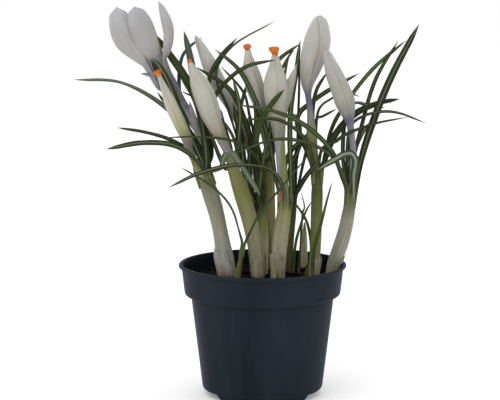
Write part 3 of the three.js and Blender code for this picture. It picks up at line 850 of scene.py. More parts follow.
def add_sheath(name, stops, stripe, edge, rise, material, slim=0.16, taper=0, clasp=0.3):
    """A papery sheath rolled round its shoot, with a slanting hollow mouth."""
    stem = Stem(f"sheath_{name}")
    stops = shades(stops)
    rise = rise * MM
    seed = 1.7 * len(name)
    angles = full_turn(SHEATH_TURNS)
    tongue = np.maximum(np.cos(angles - edge), 0) ** 1.5
    fine = min(stem.radius(0.5) / (3 * MM), 1)
    skin = Skin()

    def add_row(share, depth=0.0, inset=0.0, light=1.0):
        """One row, at a share of the length, or down inside the mouth by a depth. light scales its colour:
        painted shade, darker deeper in the mouth.
        """
        lean = min(max((share - 0.8) / 0.2, 0), 1) ** 2
        turn = ((angles - edge - 0.5 * share) / (2 * math.pi)) % 1
        rib = 0.25 * wobble(angles, share * 1.5, 3.2, seed) + 0.12 * wobble(angles, share * 3, 9, seed)
        narrowing = (slim * lean + taper * share) * stem.radius(share)
        out = (PAPER * (0.6 - turn) + rib * MM) * fine - inset - narrowing
        inward = clasp * stem.radius(1) * tongue * lean * min(rise / (8 * MM), 1)
        lift = (tongue * rise * lean * (1 - depth / SHEATH_MOUTH) - depth)[:, None]
        points = stem.ring(share, angles, out - inward) + stem.way(share) * lift
        tone = 1 + 0.14 * wobble(angles, share * 5, 2, seed)
        tint = np.outer(tone, np.array(blend_stops(stops, share))) * light
        grain = round_grain(angles, seed, share * stem.length / SHEATH_GRAIN)
        skin.row(points, tint, grain, stripe * max(share - 0.5, 0) / 0.5)

    for r in range(SHEATH_ROWS + 1):
        add_row(r / SHEATH_ROWS)
    add_row(1, 0.05 * MM, 0.15 * MM)
    # Rows down inside the mouth get darker with depth: painted shade in the hollow.
    for depth in (0.2, 1, 2, 3, 4):
        add_row(1, depth * MM, 0.35 * MM, light=0.85 - 0.1 * depth)
    skin.close()
    skin.build(f"shoot_{name}", material, [f"sheath_{name}"])


# The torn outermost scale round the foot of a sheath: its top and its start as a share of the
# sheath's length and an angle, how far round it goes, and its colours from the foot up.
SCALES = {
    "left": dict(
        top=0.36, start=-2.6, span=3.5,
        stops=((0, 94, 72, 48), (0.25, 156, 148, 134), (1, 176, 172, 164))),
    "edge": dict(
        top=0.4, start=0.2, span=2.6,
        stops=((0, *BROWN), (0.2, 136, 126, 96), (1, 168, 165, 154))),
    "front": dict(
        top=0.5, start=-2.2, span=3.2,
        stops=((0, 140, 128, 96), (0.3, 150, 146, 116), (1, 152, 149, 126))),
    "middle": dict(
        top=0.3, start=-1.0, span=3.4,
        stops=((0, 126, 116, 86), (0.3, 146, 142, 116), (1, 148, 144, 124))),
    "right": dict(
        top=0.3, start=-0.6, span=2.8,
        stops=((0, 146, 140, 112), (0.5, 158, 154, 130), (1, 156, 154, 132))),
}
SCALE_ROWS = 22
SCALE_TURNS = 40


def add_scale(name, top, start, span, stops, material):
    """A thin shell against the sheath, with a ragged upper edge that stands off a little."""
    stem = Stem(f"sheath_{name}")
    stops = shades(stops)
    seed = 3.1 * len(name)
    foot = 0.1  # where it begins, as a share of the sheath's length
    skin = Skin()
    for c in range(SCALE_TURNS + 1):
        across = c / SCALE_TURNS
        angle = start + span * across
        ragged = 0.16 * noise.noise((across * 9, seed, 0)) + 0.07 * noise.noise((across * 31, seed, 4))
        high = top * (0.55 + 0.45 * math.sin(math.pi * min(across * 1.1, 1))) + top * ragged
        outer, inner, tint, grain = [], [], [], []
        for r in range(SCALE_ROWS + 1):
            t = r / SCALE_ROWS
            share = foot + (high - foot) * t
            off = 0.25 + 0.5 * t**3 + 0.35 * noise.noise((across * 6, t * 3, seed)) * t
            near = 0.2 * max(1 - 8 * min(across, 1 - across), 0)
            inner.append(stem.ring(share, [angle], (off - near) * MM)[0])
            outer.append(stem.ring(share, [angle], (off - near + 0.2) * MM)[0])
            tone = 1 + 0.25 * noise.noise((across * 12, t * 2, seed + 9))
            tint.append(np.array(blend_stops(stops, t)) * tone)
            grain += round_grain([angle], seed, share * stem.length / SHEATH_GRAIN)
        skin.sheet_row(inner, outer, tint, grain)
    skin.close()
    skin.build(f"scale_{name}", material)


# The sprout's colours are lightened to offset the shade round it: painted light.
SPROUT_STOPS = (
    (0, 150, 140, 112), (0.2, 184, 182, 156), (0.7, 172, 170, 134), (0.86, 130, 134, 76), (1, *GREEN),
)


def add_sprout(material):
    """A short pointed shoot whose layers are still closed."""
    stem = Stem("sprout")
    stops = shades(SPROUT_STOPS)
    angles = full_turn(32)
    skin = Skin()
    for share in np.arange(40) / 40:
        layer = 0.18 * ((angles - 2.5 * share) / (2 * math.pi) % 1) * MM
        point = 0.5 * max(share - 0.7, 0) / 0.3
        points = stem.ring(share, angles, layer - point * stem.radius(share))
        skin.row(points, blend_stops(stops, share), round_grain(angles, 0, share), 0.15)
    skin.close(tip=stem.middle(1))
    skin.build("shoot_sprout", material, ["sprout"])


# ---- Flowers ----
TEPAL = 0.35 * MM  # thickness of a tepal
TEPAL_ACROSS = 16
TEPAL_ROWS = 44
TUBE_TURNS = 24
TUBE_ROWS = 44
TUBE_FOOT = 3 * MM  # how far a tube goes down inside its sheath

LILAC, PURPLE = (132, 130, 136), (98, 96, 108)
OCHRE = np.array(rgb(160, 142, 112))  # along the edges of the tepals

# begin: the share of the stem where the tepals start. turn: the angle of the first outer tepal, in
# degrees, and twist how far it winds round by its tip. feather: strength of the purple lines at the
# foot. thick: how much thicker the tube is than the solid at each side, reach: how far the tips pass the
# solid's end, and full: how much fuller the flower is near its tip, in millimetres. margin: strength of
# the ochre edges. tube and tepal: colours from the foot up.
BUDS = {
    "left_front": dict(
        begin=0.06, turn=35, twist=14, feather=1, thick=0, reach=2, full=0.3, margin=0.5,
        tube=((0, 108, 104, 92), (1, 112, 108, 90)),
        tepal=((0, 108, 104, 94), (0.1, 114, 112, 88), (0.17, 138, 136, 92), (0.25, 160, 160, 108),
               (0.34, 170, 168, 130), (0.48, 176, 173, 154), (1, 184, 182, 171))),
    "middle_front": dict(
        begin=0.25, turn=-42, twist=16, feather=0.35, thick=0, reach=2, full=0.6, margin=0.5,
        tube=((0, 108, 108, 84), (0.4, 136, 136, 136), (0.8, 140, 138, 126), (1, 142, 136, 116)),
        tepal=((0, 142, 136, 116), (0.12, 144, 136, 112), (0.22, 160, 155, 134), (0.4, 171, 169, 158),
               (1, 179, 177, 166))),
    "middle_back": dict(
        begin=0.42, turn=20, twist=10, feather=0.2, thick=0, reach=0, full=1.6, margin=0.5,
        tube=((0, 100, 102, 66), (1, 132, 132, 116)),
        tepal=((0, 132, 132, 116), (0.2, 156, 156, 140), (0.4, 168, 168, 164), (0.9, 176, 175, 171),
               (1, 190, 170, 164))),
    "tall": dict(
        begin=0.38, turn=60, twist=12, feather=0.1, thick=0.5, reach=2, full=0.5, margin=0.35,
        # The tube's colours are lightened to offset the shade of the leaves in front of it: painted light.
        tube=((0, 124, 126, 66), (0.5, 138, 140, 80), (1, 132, 130, 106)),
        tepal=((0, 132, 130, 106), (0.18, 158, 156, 122), (0.35, 172, 170, 158), (1, 186, 184, 176))),
    "front": dict(
        begin=0.42, turn=-78, twist=14, feather=0.3, thick=0, reach=2, full=1.4, margin=0.3,
        tube=((0, 108, 108, 70), (0.35, 138, 138, 126), (0.7, 152, 151, 154), (1, 144, 143, 144)),
        tepal=((0, 144, 143, 144), (0.14, 140, 140, 122), (0.28, 158, 155, 130), (0.5, 171, 169, 156),
               (1, 178, 176, 164))),
    "right": dict(
        begin=0.47, turn=-58, twist=-14, feather=0.9, thick=0.45, reach=0, full=0, margin=1.3,
        tube=((0, 98, 102, 58), (0.4, 112, 114, 66), (0.48, 124, 124, 92), (0.62, 136, 136, 128),
              (0.7, 122, 120, 128), (0.78, *PURPLE), (0.92, *PURPLE), (1, 112, 110, 114)),
        tepal=((0, *PURPLE), (0.1, 112, 110, 114), (0.16, 142, 139, 132), (0.25, 158, 155, 148),
               (0.5, 168, 166, 161), (1, 182, 180, 175))),
    "edge": dict(
        begin=0.5, turn=-70, twist=8, feather=1, thick=0.2, reach=0, full=0, margin=0.15,
        tube=((0, *GREEN), (0.2, 92, 92, 76), (0.4, 140, 140, 142), (0.66, 130, 128, 138),
              (0.84, *PURPLE), (1, 106, 104, 112)),
        tepal=((0, *PURPLE), (0.1, 112, 110, 112), (0.15, 140, 138, 124), (0.27, 157, 156, 142),
               (0.6, 167, 166, 159), (1, 174, 172, 165))),
}


def add_tube(skin, stem, end, stops, seed, feather, thick=0.0):
    """The flower's tube, from inside its sheath up into the bud, where it thins out."""
    angles = full_turn(TUBE_TURNS)
    stops = shades(stops)
    first = -TUBE_FOOT / stem.length
    for r in range(TUBE_ROWS + 1):
        share = first + (end - first) * r / TUBE_ROWS
        t = max(share / end, 0)
        thicker = thick * MM * min(2 * t, 1) * min(max((0.92 - t) / 0.12, 0), 1)
        thinned = 0.8 * MM * max(t - 0.85, 0) / 0.15
        dents = 0.12 * MM * wobble(angles, share * 4, 2, seed)
        points = stem.ring(share, angles, thicker - thinned + dents)
        skin.row(points, blend_stops(stops, t), round_grain(angles, seed, share * 2), feather * t**3)
    skin.close()


def add_wrapped_tepal(skin, stem, bud, turn, seed, tuck):
    """One tepal of a closed flower, wrapped round it: its left edge lies under its neighbour. tuck is
    how far in it lies as a whole, against the flower's radius."""
    stops = shades(bud["tepal"])
    last = 1 + bud["reach"] * MM / stem.length * (1 - 2 * tuck)
    across = np.linspace(-1, 1, TEPAL_ACROSS + 1)
    edge = np.maximum(np.abs(across) - 0.82, 0) / 0.18
    band = np.maximum(np.abs(across) - 0.68, 0) / 0.32
    for r in range(TEPAL_ROWS + 1):
        v = r / TEPAL_ROWS
        share = bud["begin"] + (last - bud["begin"]) * v
        narrowing = max((v - 0.5) / 0.5, 0)
        rounding = math.sqrt(max(1 - narrowing**3.2, 0.003))
        half = math.radians(80) * rounding * (0.78 + 0.22 * min(v / 0.2, 1))
        angles = turn + across * half + math.radians(bud["twist"]) * v
        fullness = bud["full"] * MM * math.exp(-(((v - 0.84) / 0.13) ** 2))
        base = max(stem.radius(min(share, 1)), 0.5 * MM) + fullness
        wave = 0.16 * MM * np.array([noise.noise((u * 1.5 + seed, v * 4, seed)) for u in across])
        rib = 0.1 * MM * np.exp(-((across / 0.12) ** 2)) * math.sin(math.pi * v)
        rising = 0.45 * MM * max(1 - v / 0.1, 0)
        lift = base * (0.04 * across - tuck) + wave + rib - rising
        if share > 1:
            lift = lift - 0.55 * base * (share - 1) / (last - 1)
        outer = stem.ring(share, angles, lift - 0.12 * MM * edge)
        inner = stem.ring(share, angles, lift + 0.1 * MM * edge - TEPAL)
        colour = np.array(blend_stops(stops, v))
        ochre = (0.45 * bud["margin"] * band * (1 - 0.6 * abs(2 * v - 1)))[:, None]
        tint = colour * (1 - ochre) + OCHRE * ochre
        grain = [(u * 1.1 + seed, 0.2, v * 2) for u in across]
        skin.sheet_row(outer, inner, tint, grain, bud["feather"] * max(1 - v / 0.4, 0))
    skin.close()


def add_bud(name, bud, material):
    """A closed flower: its tube, three inner tepals and three outer ones wrapped round them."""
    stem = Stem(f"flower_{name}")
    skin = Skin()
    seed = 2.3 * len(name)
    add_tube(skin, stem, bud["begin"] + 0.12, bud["tube"], seed, bud["feather"], bud["thick"])
    for first_turn, first_seed, tuck in ((60, seed, 0.1), (0, seed + 5, 0)):
        for k in range(3):
            turn = math.radians(bud["turn"] + first_turn + 120 * k)
            add_wrapped_tepal(skin, stem, bud, turn, first_seed + k, tuck)
    skin.build(f"bloom_{name}", material, [f"flower_{name}"])


# ---- The open flower ----
# azimuth: the side of the cup that the tepal grows from. swell: how far its foot stands out from the
# cup, and out: how far it leans out above that, in millimetres. foot: its half width there against the
# cup's radius. wide: its width against the solid's. blunt: the higher, the blunter its tip. seam:
# strength of the ochre colour along its left edge. tone: how light it is.
OPEN_TEPALS = {
    "back": dict(azimuth=175, swell=0.3, out=0, foot=0.8, wide=1.1, blunt=8, seam=0.2, tone=0.94),
    "left": dict(azimuth=-95, swell=2, out=0.6, foot=0.95, wide=1.05, blunt=9, seam=0.1, tone=0.97),
    "middle": dict(azimuth=-8, swell=0.5, out=1.6, foot=1, wide=1.05, blunt=9, seam=0.8, tone=0.92),
    "right": dict(azimuth=75, swell=0.2, out=0, foot=0.45, wide=1.1, blunt=3, seam=0.1, tone=0.94),
}
OPEN_STOPS = (
    (0, 134, 132, 143), (0.1, 116, 114, 126), (0.2, 110, 108, 120), (0.29, 134, 132, 138),
    (0.4, 156, 154, 152), (0.5, 163, 161, 159), (0.75, 167, 166, 168), (1, 174, 173, 179),
)
CUP_STOPS = (
    (0, 104, 104, 70), (0.2, 150, 150, 142), (0.5, 150, 148, 156), (0.72, 130, 128, 140),
    (0.9, 104, 102, 116), (1, *PURPLE),
)
CUP_SHARES = (0.66, 0.74, 0.82, 0.9, 0.97)  # where a tepal follows the cup
CAD_TEPAL_POWER = 6  # how bluntly the CAD tepals end
SHEET_ROWS = 60


def add_sheet(name, line, blunt_tip, stops, seed, seam, feather, material, nodes=()):
    """A thin cupped sheet along a line of evenly spaced (middle, half width, outward side, curl)."""
    middles, halves, outwards, curls = (np.array(values) for values in zip(*line))
    across = np.linspace(-1, 1, TEPAL_ACROSS + 1)
    edge = np.maximum(np.abs(across) - 0.85, 0) / 0.15
    left = np.maximum(-across - 0.55, 0) / 0.45
    skin = Skin()
    for r in range(SHEET_ROWS + 1):
        v = r / SHEET_ROWS
        way = unit(smooth(middles, v + 0.02) - smooth(middles, v - 0.02))
        outward = smooth(outwards, v)
        outward = unit(outward - way * (outward @ way))
        right = np.cross(way, outward)
        half = max(float(smooth(halves, v)), blunt_tip)
        bend = (float(smooth(curls, v)) * across)[:, None]
        reach = half / math.sin(min(float(smooth(curls, v)), math.pi / 2))
        wave = 0.3 * MM * np.array([noise.noise((u * 1.4 + seed * 3, v * 5, seed)) for u in across])
        rib = 0.12 * MM * np.exp(-((across / 0.09) ** 2))
        lift = ((wave + rib) * math.sin(math.pi * v))[:, None]
        surface = smooth(middles, v) + right * reach * np.sin(bend)
        surface = surface - outward * reach * (1 - np.cos(bend))
        normal = right * np.sin(bend) + outward * np.cos(bend)
        thin = (0.1 * MM * edge)[:, None]
        outer = surface + normal * (lift - thin)
        inner = surface + normal * (lift - TEPAL + thin)
        fade = math.sin(math.pi * min(v * 1.15, 1))
        ochre = (np.maximum(0.3 * edge, seam * left) * fade)[:, None]
        tint = np.array(blend_stops(stops, v)) * (1 - ochre) + OCHRE * ochre
        grain = [(u * 1.2 + seed * 2.1, 0.4, v * 2.4) for u in across]
        skin.sheet_row(outer, inner, tint, grain, feather * max(1 - v / 0.35, 0))
    skin.close()
    skin.build(name, material, nodes)


def open_tepal_line(blade, cup, azimuth, swell, out, foot, wide, blunt):
    """The line of a tepal that grows up out of the cup's wall and then follows its CAD solid."""
    angle = math.radians(azimuth)
    line = []
    for i, share in enumerate(CUP_SHARES):
        middle = cup.ring(share, [angle], (0.1 + swell * i / len(CUP_SHARES)) * MM)[0]
        line.append((middle, cup.radius(share) * 0.95, unit(middle - cup.middle(share)), 1.2))
    axis = cup.way(1)
    last = len(blade.middles) - 1
    for i in range(3, last + 1):
        t = i / last
        middle, _, upper, _ = blade.place(t)
        middle = middle + line[0][2] * out * MM * max(1 - t / 0.6, 0)
        centre = cup.middles[-1] + axis * ((middle - cup.middles[-1]) @ axis)
        facing = upper if upper @ (middle - centre) > 0 else -upper
        turned_by = min((t - 0.1) / 0.5, 1)
        near = min(t, 1 - 1 / last)
        full = np.linalg.norm(blade.place(near)[1]) / math.sqrt(1 - near**CAD_TEPAL_POWER)
        least = foot * cup.radius(1) if t < 0.6 else 0
        half = max(full * wide, least) * math.sqrt(max(1 - t**blunt, 0))
        outward = unit(line[0][2] * (1 - turned_by) + facing * turned_by)
        line.append((middle, half, outward, 1.05 - 0.5 * t))
    return line


# Small loose pieces beside the flowers: points in millimetres, width, the side they face, and colours.
LOOSE_TEPALS = {
    "front_side": dict(
        width=7, face=(0.3, -1, 0),
        points=((8.5, -2, 147), (11, -1, 154), (13, 0, 160.5), (14.8, 0.5, 167), (16.4, 1, 172),
                (17.9, 1, 178)),
        stops=((0, 146, 143, 112), (0.4, 164, 163, 154), (1, 178, 178, 172))),
    "open_spur": dict(
        width=2.2, face=(0, -1, 0.4),
        points=((-57, 9, 170.5), (-60, 9, 171.5), (-63, 10, 172), (-65.5, 10, 172)),
        stops=((0, *LILAC), (1, 118, 120, 126))),
    "front_scale": dict(
        width=2.9, face=(-0.2, -1, 0),
        points=((8.9, -12.9, 106), (8.8, -13.2, 108.6), (9, -12.9, 110.8), (9.6, -12.2, 112.6)),
        stops=((0, 120, 104, 64), (0.5, 146, 94, 52), (1, 112, 72, 44))),
    "front_spathe": dict(
        width=4.4, face=(0.75, -0.65, 0),
        points=((13.4, -10, 101), (13.3, -8.8, 111), (12.2, -7.1, 123), (11.5, -6, 134), (11, -5.6, 143),
                (11, -5.6, 147)),
        stops=((0, 112, 116, 62), (0.6, 124, 127, 72), (1, 138, 137, 104))),
    "open_bract": dict(
        width=3.6, face=(0.3, -1, 0),
        points=((-33, 4, 138), (-34.5, 5, 143), (-36.5, 5, 149), (-38.2, 6, 154), (-39, 6, 158)),
        stops=((0, 140, 138, 112), (0.5, 152, 151, 150), (1, 140, 139, 148))),
}


def add_loose_tepal(name, points, width, face, stops, material):
    """A small loose piece along its points, widest in its middle."""
    steps = 8
    points = np.array(points) * MM
    line = []
    for i in range(steps + 1):
        t = i / steps
        bulge = 0.6 + 0.4 * math.sin(math.pi * min(t + 0.1, 1))
        half = width / 2 * MM * bulge * math.sqrt(max(1 - t**3, 0))
        line.append((smooth(points, t), half, unit(np.array(face, float)), 0.9))
    add_sheet(f"bloom_{name}", line, 0.08 * MM, shades(stops), len(name), 0.2, 0.2, material)


def add_open_tepal(name, cup, seam, tone, material, **shape):
    """One tepal of the open flower. shape is what open_tepal_line needs."""
    node = f"flower_open_tepal_{name}"
    line = open_tepal_line(blade_of(node), cup, **shape)
    stops = [(share, np.array(colour) * tone) for share, colour in shades(OPEN_STOPS)]
    seed = shape["azimuth"] / 30
    add_sheet(f"bloom_open_{name}", line, 0.12 * MM, stops, seed, seam, 0.55, material, [node])


def add_open_flower(material):
    """The open flower: its tube and cup, and the four tepals that show."""
    cup = Stem("flower_open_cup")
    skin = Skin()
    add_tube(skin, cup, 0.9, CUP_STOPS, 1.0, 0.6)
    skin.build("bloom_open_cup", material, ["flower_open_cup"])
    for name, look in OPEN_TEPALS.items():
        add_open_tepal(name, cup, **look, material=material)


# ---- Stigmas ----
STIGMA_TURNS = 48
STIGMA_ROWS = 18
STIGMA_WIDE = {"left_front": 1.25, "middle_front": 0.95, "tall": 1.0, "front": 0.86}  # against the solid


def add_stigma(name, material):
    """A crumpled orange trumpet with a frilled edge, which hides the tips of the tepals round it."""
    stem = Stem(f"stigma_{name}")
    angles = full_turn(STIGMA_TURNS)
    seed = 1.3 * len(name)
    widest = stem.radii.max()
    rows = []
    for r in range(STIGMA_ROWS + 1):
        share = r / STIGMA_ROWS
        fold = 0.2 * np.sin(3 * angles + seed) + 0.1 * np.sin(8 * angles + 2 * seed)
        crumple = 0.5 * wobble(angles, share * 3 + seed, 2.2, seed)
        bulge = stem.radius(share) * (fold + crumple) * (0.25 + 0.75 * share)
        lift = 0.35 * MM * share * wobble(angles, seed, 3, 5)[:, None]
        stout = 0.5 * (widest - stem.radius(share)) + (STIGMA_WIDE[name] - 1) * widest
        rows.append(stem.ring(share, angles, bulge + stout) + stem.way(share) * lift)
    top = stem.middle(1)
    for inward in (0.8, 0.55, 0.25):
        rows.append(top + (rows[STIGMA_ROWS] - top) * inward - stem.way(1) * 0.5 * MM * (1 - inward))
    skin = Skin()
    for row in rows:
        skin.row(row, (1, 1, 1), round_grain(angles, 0, 0))
    skin.close()
    skin.build(f"tip_{name}", material, [f"stigma_{name}"])


# ---- Leaves ----
LEAF_ROWS = 76
LEAF_ACROSS = 12
LEAF_FOOT = 3.2 * MM  # how far a leaf's foot goes down inside its sheath
LEAF_GRAIN = 0.04  # the length over which the lines along a leaf change

DARK_LEAF, MID_LEAF, LIGHT_LEAF = rgb(33, 42, 14), rgb(49, 62, 19), rgb(78, 92, 34)
BLUISH_LEAF, GREY_LEAF = rgb(58, 74, 62), rgb(70, 82, 64)
LEAF_FOOT_COLOUR, LEAF_TIP_COLOUR = rgb(98, 106, 56), rgb(84, 76, 44)


def leaf_section():
    """Points round a leaf as (across, height) shares of its half width: a channel over a keel."""
    across = [2 * i / LEAF_ACROSS - 1 for i in range(LEAF_ACROSS + 1)]
    upper = [(w, 0.17 - 0.28 * w * w - 0.16 * math.exp(-((w / 0.16) ** 2))) for w in across]
    lower = [(w, -0.16 - 0.1 * w * w - 0.4 * math.exp(-((w / 0.26) ** 4))) for w in across[1:-1]]
    return upper + lower[::-1]


LEAF_SECTION = np.array(leaf_section())

# Leaves that stand out: width against the CAD solid's, colour, and strength of the pale stripe.
LEAF_LOOKS = {
    "leaf_edge_3": (1.3, rgb(54, 65, 44), 1.9),
    "leaf_edge_4": (1.05, DARK_LEAF, 0.5),
    "leaf_front_1": (1.15, DARK_LEAF, 0.9),
    "leaf_front_2": (1.0, MID_LEAF, 0.8),
    "leaf_left_1": (1.1, GREY_LEAF, 0.8),
    "leaf_left_4": (1.3, DARK_LEAF, 0.1),
    "leaf_left_5": (1.45, MID_LEAF, 0.1),
    "leaf_left_6": (1.55, rgb(62, 75, 66), 0.3),
    "leaf_left_7": (1.15, BLUISH_LEAF, 0.5),
    "leaf_left_8": (1.25, rgb(84, 95, 72), 1.0),
    "leaf_right_3": (1.45, DARK_LEAF, 0.1),
    "leaf_tall_2": (1.35, MID_LEAF, 0.1),
}
LEAF_WIDE = 1.12  # the other leaves' width against the CAD solid's
LEAF_FLARE, WIDE_FLARE = 0.2, 1.4
WIDE_FEET = ("leaf_small_1", "leaf_small_2")  # these leaves sheathe each other at their feet
CAD_TIP_POWER, TIP_POWER = 4, 7  # how bluntly the CAD leaves end, and these


def add_leaf(name, blade, tone, stripe, material, nodes=(), wide=1.0, flare=LEAF_FLARE):
    """A narrow channelled leaf along a blade. tone is its colour halfway up, and stripe the strength
    of its pale stripe. Its width is that of the blade times wide, and more at its foot, by flare."""
    stops = ((0, LEAF_FOOT_COLOUR), (0.12, tone), (0.96, tone), (1, LEAF_TIP_COLOUR))
    seed = 0.37 * sum(map(ord, name))
    sideways, upwards = LEAF_SECTION.T
    stripe_row = [stripe] * (LEAF_ACROSS + 1) + [0.25 * stripe] * (LEAF_ACROSS - 1)
    skin = Skin()
    first = -math.ceil(LEAF_FOOT / blade.length * LEAF_ROWS)
    for r in range(first, LEAF_ROWS):
        share = r / LEAF_ROWS
        near = max(share, 0)
        middle, side, upper, way = blade.place(near)
        middle = middle + way * min(share, 0) * blade.length
        half = np.linalg.norm(side) * wide * math.sqrt((1 - near**TIP_POWER) / (1 - near**CAD_TIP_POWER))
        half *= 1 + flare * max(1 - near / 0.22, 0)
        side = unit(side)
        twist = 0.7 * noise.noise((share * 3, seed, 0)) * min(near / 0.2, 1)
        across = side * math.cos(twist) + upper * math.sin(twist)
        over = upper * math.cos(twist) - side * math.sin(twist)
        width = half * (1 + 0.08 * noise.noise((share * 9, seed, 5)))
        points = middle + np.outer(sideways, across) * width + np.outer(upwards, over) * half
        grain = [(w, seed, share * blade.length / LEAF_GRAIN) for w in sideways]
        skin.row(points, blend_stops(stops, near), grain, stripe_row)
    skin.close(tip=blade.middles[-1])
    skin.build(name, material, nodes)


# Finer leaves among those of the CAD model: the sheath whose mouth each one grows from, the angle round
# it, in radians, the leaf's width and its further points, in millimetres, and the way that it faces.
FINE_LEAVES = (
    ("tall", 0.5, 1.5, ((8, 7, 140), (11, 4, 158.5), (11.5, 6, 169), (13.5, 9, 180.5), (17, 10, 185))),
    ("back", 0.5, 1.4, ((18.5, 9, 130), (19.5, 10, 163.5), (19.5, 11, 173.5), (19.5, 12, 184.5))),
    ("right", 0.5, 2.0, ((31.5, -2, 133), (39, -3, 137.5), (44.5, -4, 141.5), (60, -6, 147.5),
                         (78, -7, 151)), TOP_FACE),
    ("right", 2.6, 1.6, ((28.5, 4, 136), (29.5, 6, 152), (35, 8, 158), (44.5, 9, 162),
                         (52.5, 10, 159.5)), TOP_FACE),
    ("edge", -2.6, 2.6, ((43, 4, 126), (44, 6, 149), (49, 9, 156.5), (55.5, 10, 155.5),
                         (66, 11, 153.5)), TOP_FACE),
    ("back", 2.2, 1.8, ((22, 8, 125), (28, 8, 146.5), (32.5, 9, 149.5), (40, 10, 153.5)), TOP_FACE),
    ("inner", -2.0, 1.6, ((-3, 6, 130), (-7, 6, 150), (-9.5, 6, 161), (-15, 8, 168.5),
                          (-23, 10, 176.5))),
    ("left", 2.4, 1.8, ((-34, 5, 130), (-41, 7, 143), (-47, 8, 151.5), (-53, 9, 157.5),
                        (-56.5, 10, 162.5))),
    ("left", 2.0, 1.4, ((-28, 8, 135), (-30, 9, 150), (-34.5, 10, 158), (-39, 11, 160.5),
                        (-44, 12, 162.5)), TOP_FACE),
    ("front", 1.6, 2.6, ((13, -6, 111), (12, 0, 124), (16, 3, 132.5), (20, 4, 136), (26, 5, 141))),
    ("back", -1.0, 2.6, ((14.5, 4, 118.5), (15.5, 5, 123.5), (18, 6, 129), (20, 7, 133.5),
                         (24, 9, 141))),
    ("right", 2.0, 1.4, ((32, 3, 124), (34, 5, 134), (38, 6, 147), (45, 8, 158))),
    ("middle", 1.2, 2.8, ((-13, -4, 132), (-12.5, -4, 142), (-12, -3, 150), (-13, -2, 160),
                          (-16, 0, 171))),
    ("tall", -1.0, 2.4, ((5, 4, 130), (4, 2, 138), (0, 2, 148), (-5, 2, 157))),
    ("middle", 0.2, 1.8, ((-13.5, -8, 131), (-16, -8, 141), (-21.5, -8, 149), (-29, -9, 155))),
    ("inner", -0.3, 2.6, ((-2, -2, 108), (-1, -5, 118), (1, -6, 131), (5, -7, 146))),
    ("inner", -1.2, 3.2, ((-3, 3, 118), (-5.5, 3, 134), (-8.5, 3, 144.5), (-12, 4, 152.5))),
    ("inner", 0.8, 2.4, ((-1, 0, 120), (-4, 0, 137.5), (-3.5, 2, 148), (-4.5, 3, 159), (-9, 5, 172))),
    ("tall", 3.0, 2.0, ((4, 16, 140), (6, 22, 158), (10, 28, 172), (17, 34, 184))),
    ("left", -2.6, 2.0, ((-32, 6, 132), (-34, 16, 146), (-38, 25, 158), (-45, 32, 168))),
    ("middle", 3.0, 2.2, ((-14, 6, 130), (-13, 16, 146), (-10, 24, 160), (-4, 31, 173))),
    ("edge", 3.0, 2.0, ((47, 8, 120), (47, 17, 138), (44, 26, 155), (38, 33, 168))),
    ("right", -2.9, 2.2, ((28, 8, 132), (27, 18, 148), (29, 27, 161), (36, 33, 172))),
    ("left", 1.2, 3.8, ((-38, -1, 139), (-42.4, -2, 149.7), (-45, -2.3, 156.4),
                        (-48.8, -3.5, 166.3), (-54, -5, 176.5), (-58.5, -5.5, 182.1))),
    ("left", 0.6, 3.4, ((-29.8, -6, 125.8), (-30.3, -5, 134), (-31.8, -3, 144.5), (-35.5, 1, 161))),
    ("middle", -1.4, 2.4, ((-19.5, -3, 122.5), (-22.8, -1, 128.5), (-26.9, 0, 138.6), (-36, 2, 160))),
    ("inner", -1.7, 4.0, ((-7, 2, 109.5), (-9.4, 3, 119), (-11.2, 4, 133), (-12.5, 5, 142),
                          (-16, 7, 158))),
    ("inner", 2.6, 3.2, ((-5.2, 5, 107), (-6.6, 5, 114.5), (-7.3, 5, 121.5), (-6.8, 6, 138),
                         (-11, 8, 152))),
    ("inner", 3.0, 3.0, ((-3, 12, 118), (-7, 22, 134), (-8, 32, 143), (-6, 41, 146))),
    ("tall", 2.4, 2.6, ((7, 16, 136), (10, 25, 147), (12, 34, 151), (13, 42, 149))),
    ("back", 2.8, 2.8, ((17, 14, 120), (20, 24, 136), (19, 35, 145), (14, 43, 147))),
    ("middle", -2.6, 2.4, ((-17, 4, 132), (-21, 13, 144), (-23, 22, 150), (-24, 31, 150))),
    ("left_inner", -2.8, 2.4, ((-30, 8, 128), (-33, 19, 141), (-33, 30, 149), (-30, 38, 152))),
    ("edge", -2.9, 2.4, ((46, 9, 116), (50, 19, 130), (55, 28, 139), (59, 36, 143))),
)
# Low leaves that come up through the soil beside the shoots: width, and points in millimetres.
LOW_LEAVES = (
    (2.4, ((26.5, -4.5, 63), (27.5, -4.5, 79), (31, -5, 92.5), (34, -7, 105.5), (37, -9, 117))),
    (2.2, ((23, 1, 63), (26, 3, 78), (24, 5, 92), (18.5, 7, 101), (14.5, 8, 105))),
    (2.2, ((16.5, 5, 63), (17.5, 3.5, 79), (20, 3, 90), (23.5, 7, 98.5), (26.5, 8, 103.5))),
    (1.8, ((19.5, 6.5, 63), (20.5, 6, 80), (21.5, 6, 96.5), (22.5, 6, 101), (20.5, 7, 109.5))),
)


def mixed(a, b, share):
    """Colours a and b mixed, with that share of b."""
    return np.array(a) * (1 - share) + np.array(b) * share


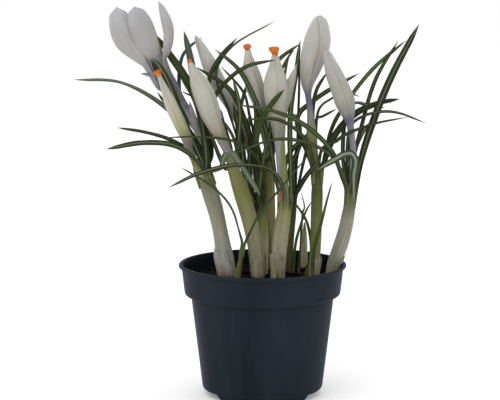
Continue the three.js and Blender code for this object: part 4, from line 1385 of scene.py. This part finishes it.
def add_leaves(material):
    """The leaves of the CAD model, then the finer ones and the low ones."""
    draw = random.Random(11)
    for node in sorted(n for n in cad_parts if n.startswith("leaf_")):
        usual = (LEAF_WIDE, mixed(DARK_LEAF, MID_LEAF, draw.random()), draw.uniform(0.15, 0.7))
        wide, tone, stripe = LEAF_LOOKS.get(node, usual)
        flare = WIDE_FLARE if node in WIDE_FEET else LEAF_FLARE
        name = node.replace("leaf_", "blade_")
        add_leaf(name, blade_of(node), tone, stripe, material, [node], wide, flare)
    for i, (sheath, angle, width, points, *face) in enumerate(FINE_LEAVES, 1):
        stem = Stem(f"sheath_{sheath}")
        seat = stem.ring(1, [angle], -0.45 * stem.radius(1))[0]
        line = [seat, seat + stem.way(1) * 4 * MM, *(np.array(points) * MM)]
        blade = blade_along(line, width * MM, *face)
        tone = mixed(DARK_LEAF, MID_LEAF, draw.random())
        add_leaf(f"fine_leaf_{i}", blade, tone, min(width * draw.uniform(0.1, 0.4), 1), material)
    for i, (width, points) in enumerate(LOW_LEAVES, 1):
        blade = blade_along(np.array(points) * MM, width * MM, taper=0.6)
        add_leaf(f"low_leaf_{i}", blade, mixed(MID_LEAF, LIGHT_LEAF, draw.random()), 0.3, material)


# ---- The whole object ----
def add_floor():
    """The white floor, which is there for the picture only."""
    turns = full_turn(64)
    points = [(FLOOR_RADIUS * math.cos(a), FLOOR_RADIUS * math.sin(a), 0) for a in turns]
    mesh = new_mesh("floor", points, [tuple(range(len(points)))])
    mesh.materials.append(floor_material())
    new_object("floor", mesh)


def main():
    """Sets the stage, then builds the pot, the soil and the plant."""
    add_camera()
    add_lamps()
    add_world()
    add_floor()
    # The inside is the same plastic at 0.45 of its colour and sheen: painted shade inside the pot.
    add_pot(pot_material("pot", 1), pot_material("pot_inside_painted_shade", 0.45))
    add_soil(soil_material())
    sheath = sheath_material()
    for name, look in SHEATHS.items():
        add_sheath(name, **look, material=sheath)
    for name, look in SCALES.items():
        add_scale(name, **look, material=sheath)
    add_sprout(sheath)
    tepal = tepal_material()
    for name, look in BUDS.items():
        add_bud(name, look, tepal)
    add_open_flower(tepal)
    for name, look in LOOSE_TEPALS.items():
        add_loose_tepal(name, **look, material=tepal)
    stigma = stigma_material()
    for node in sorted(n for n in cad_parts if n.startswith("stigma_")):
        add_stigma(node.removeprefix("stigma_"), stigma)
    add_leaves(leaf_material())


main()
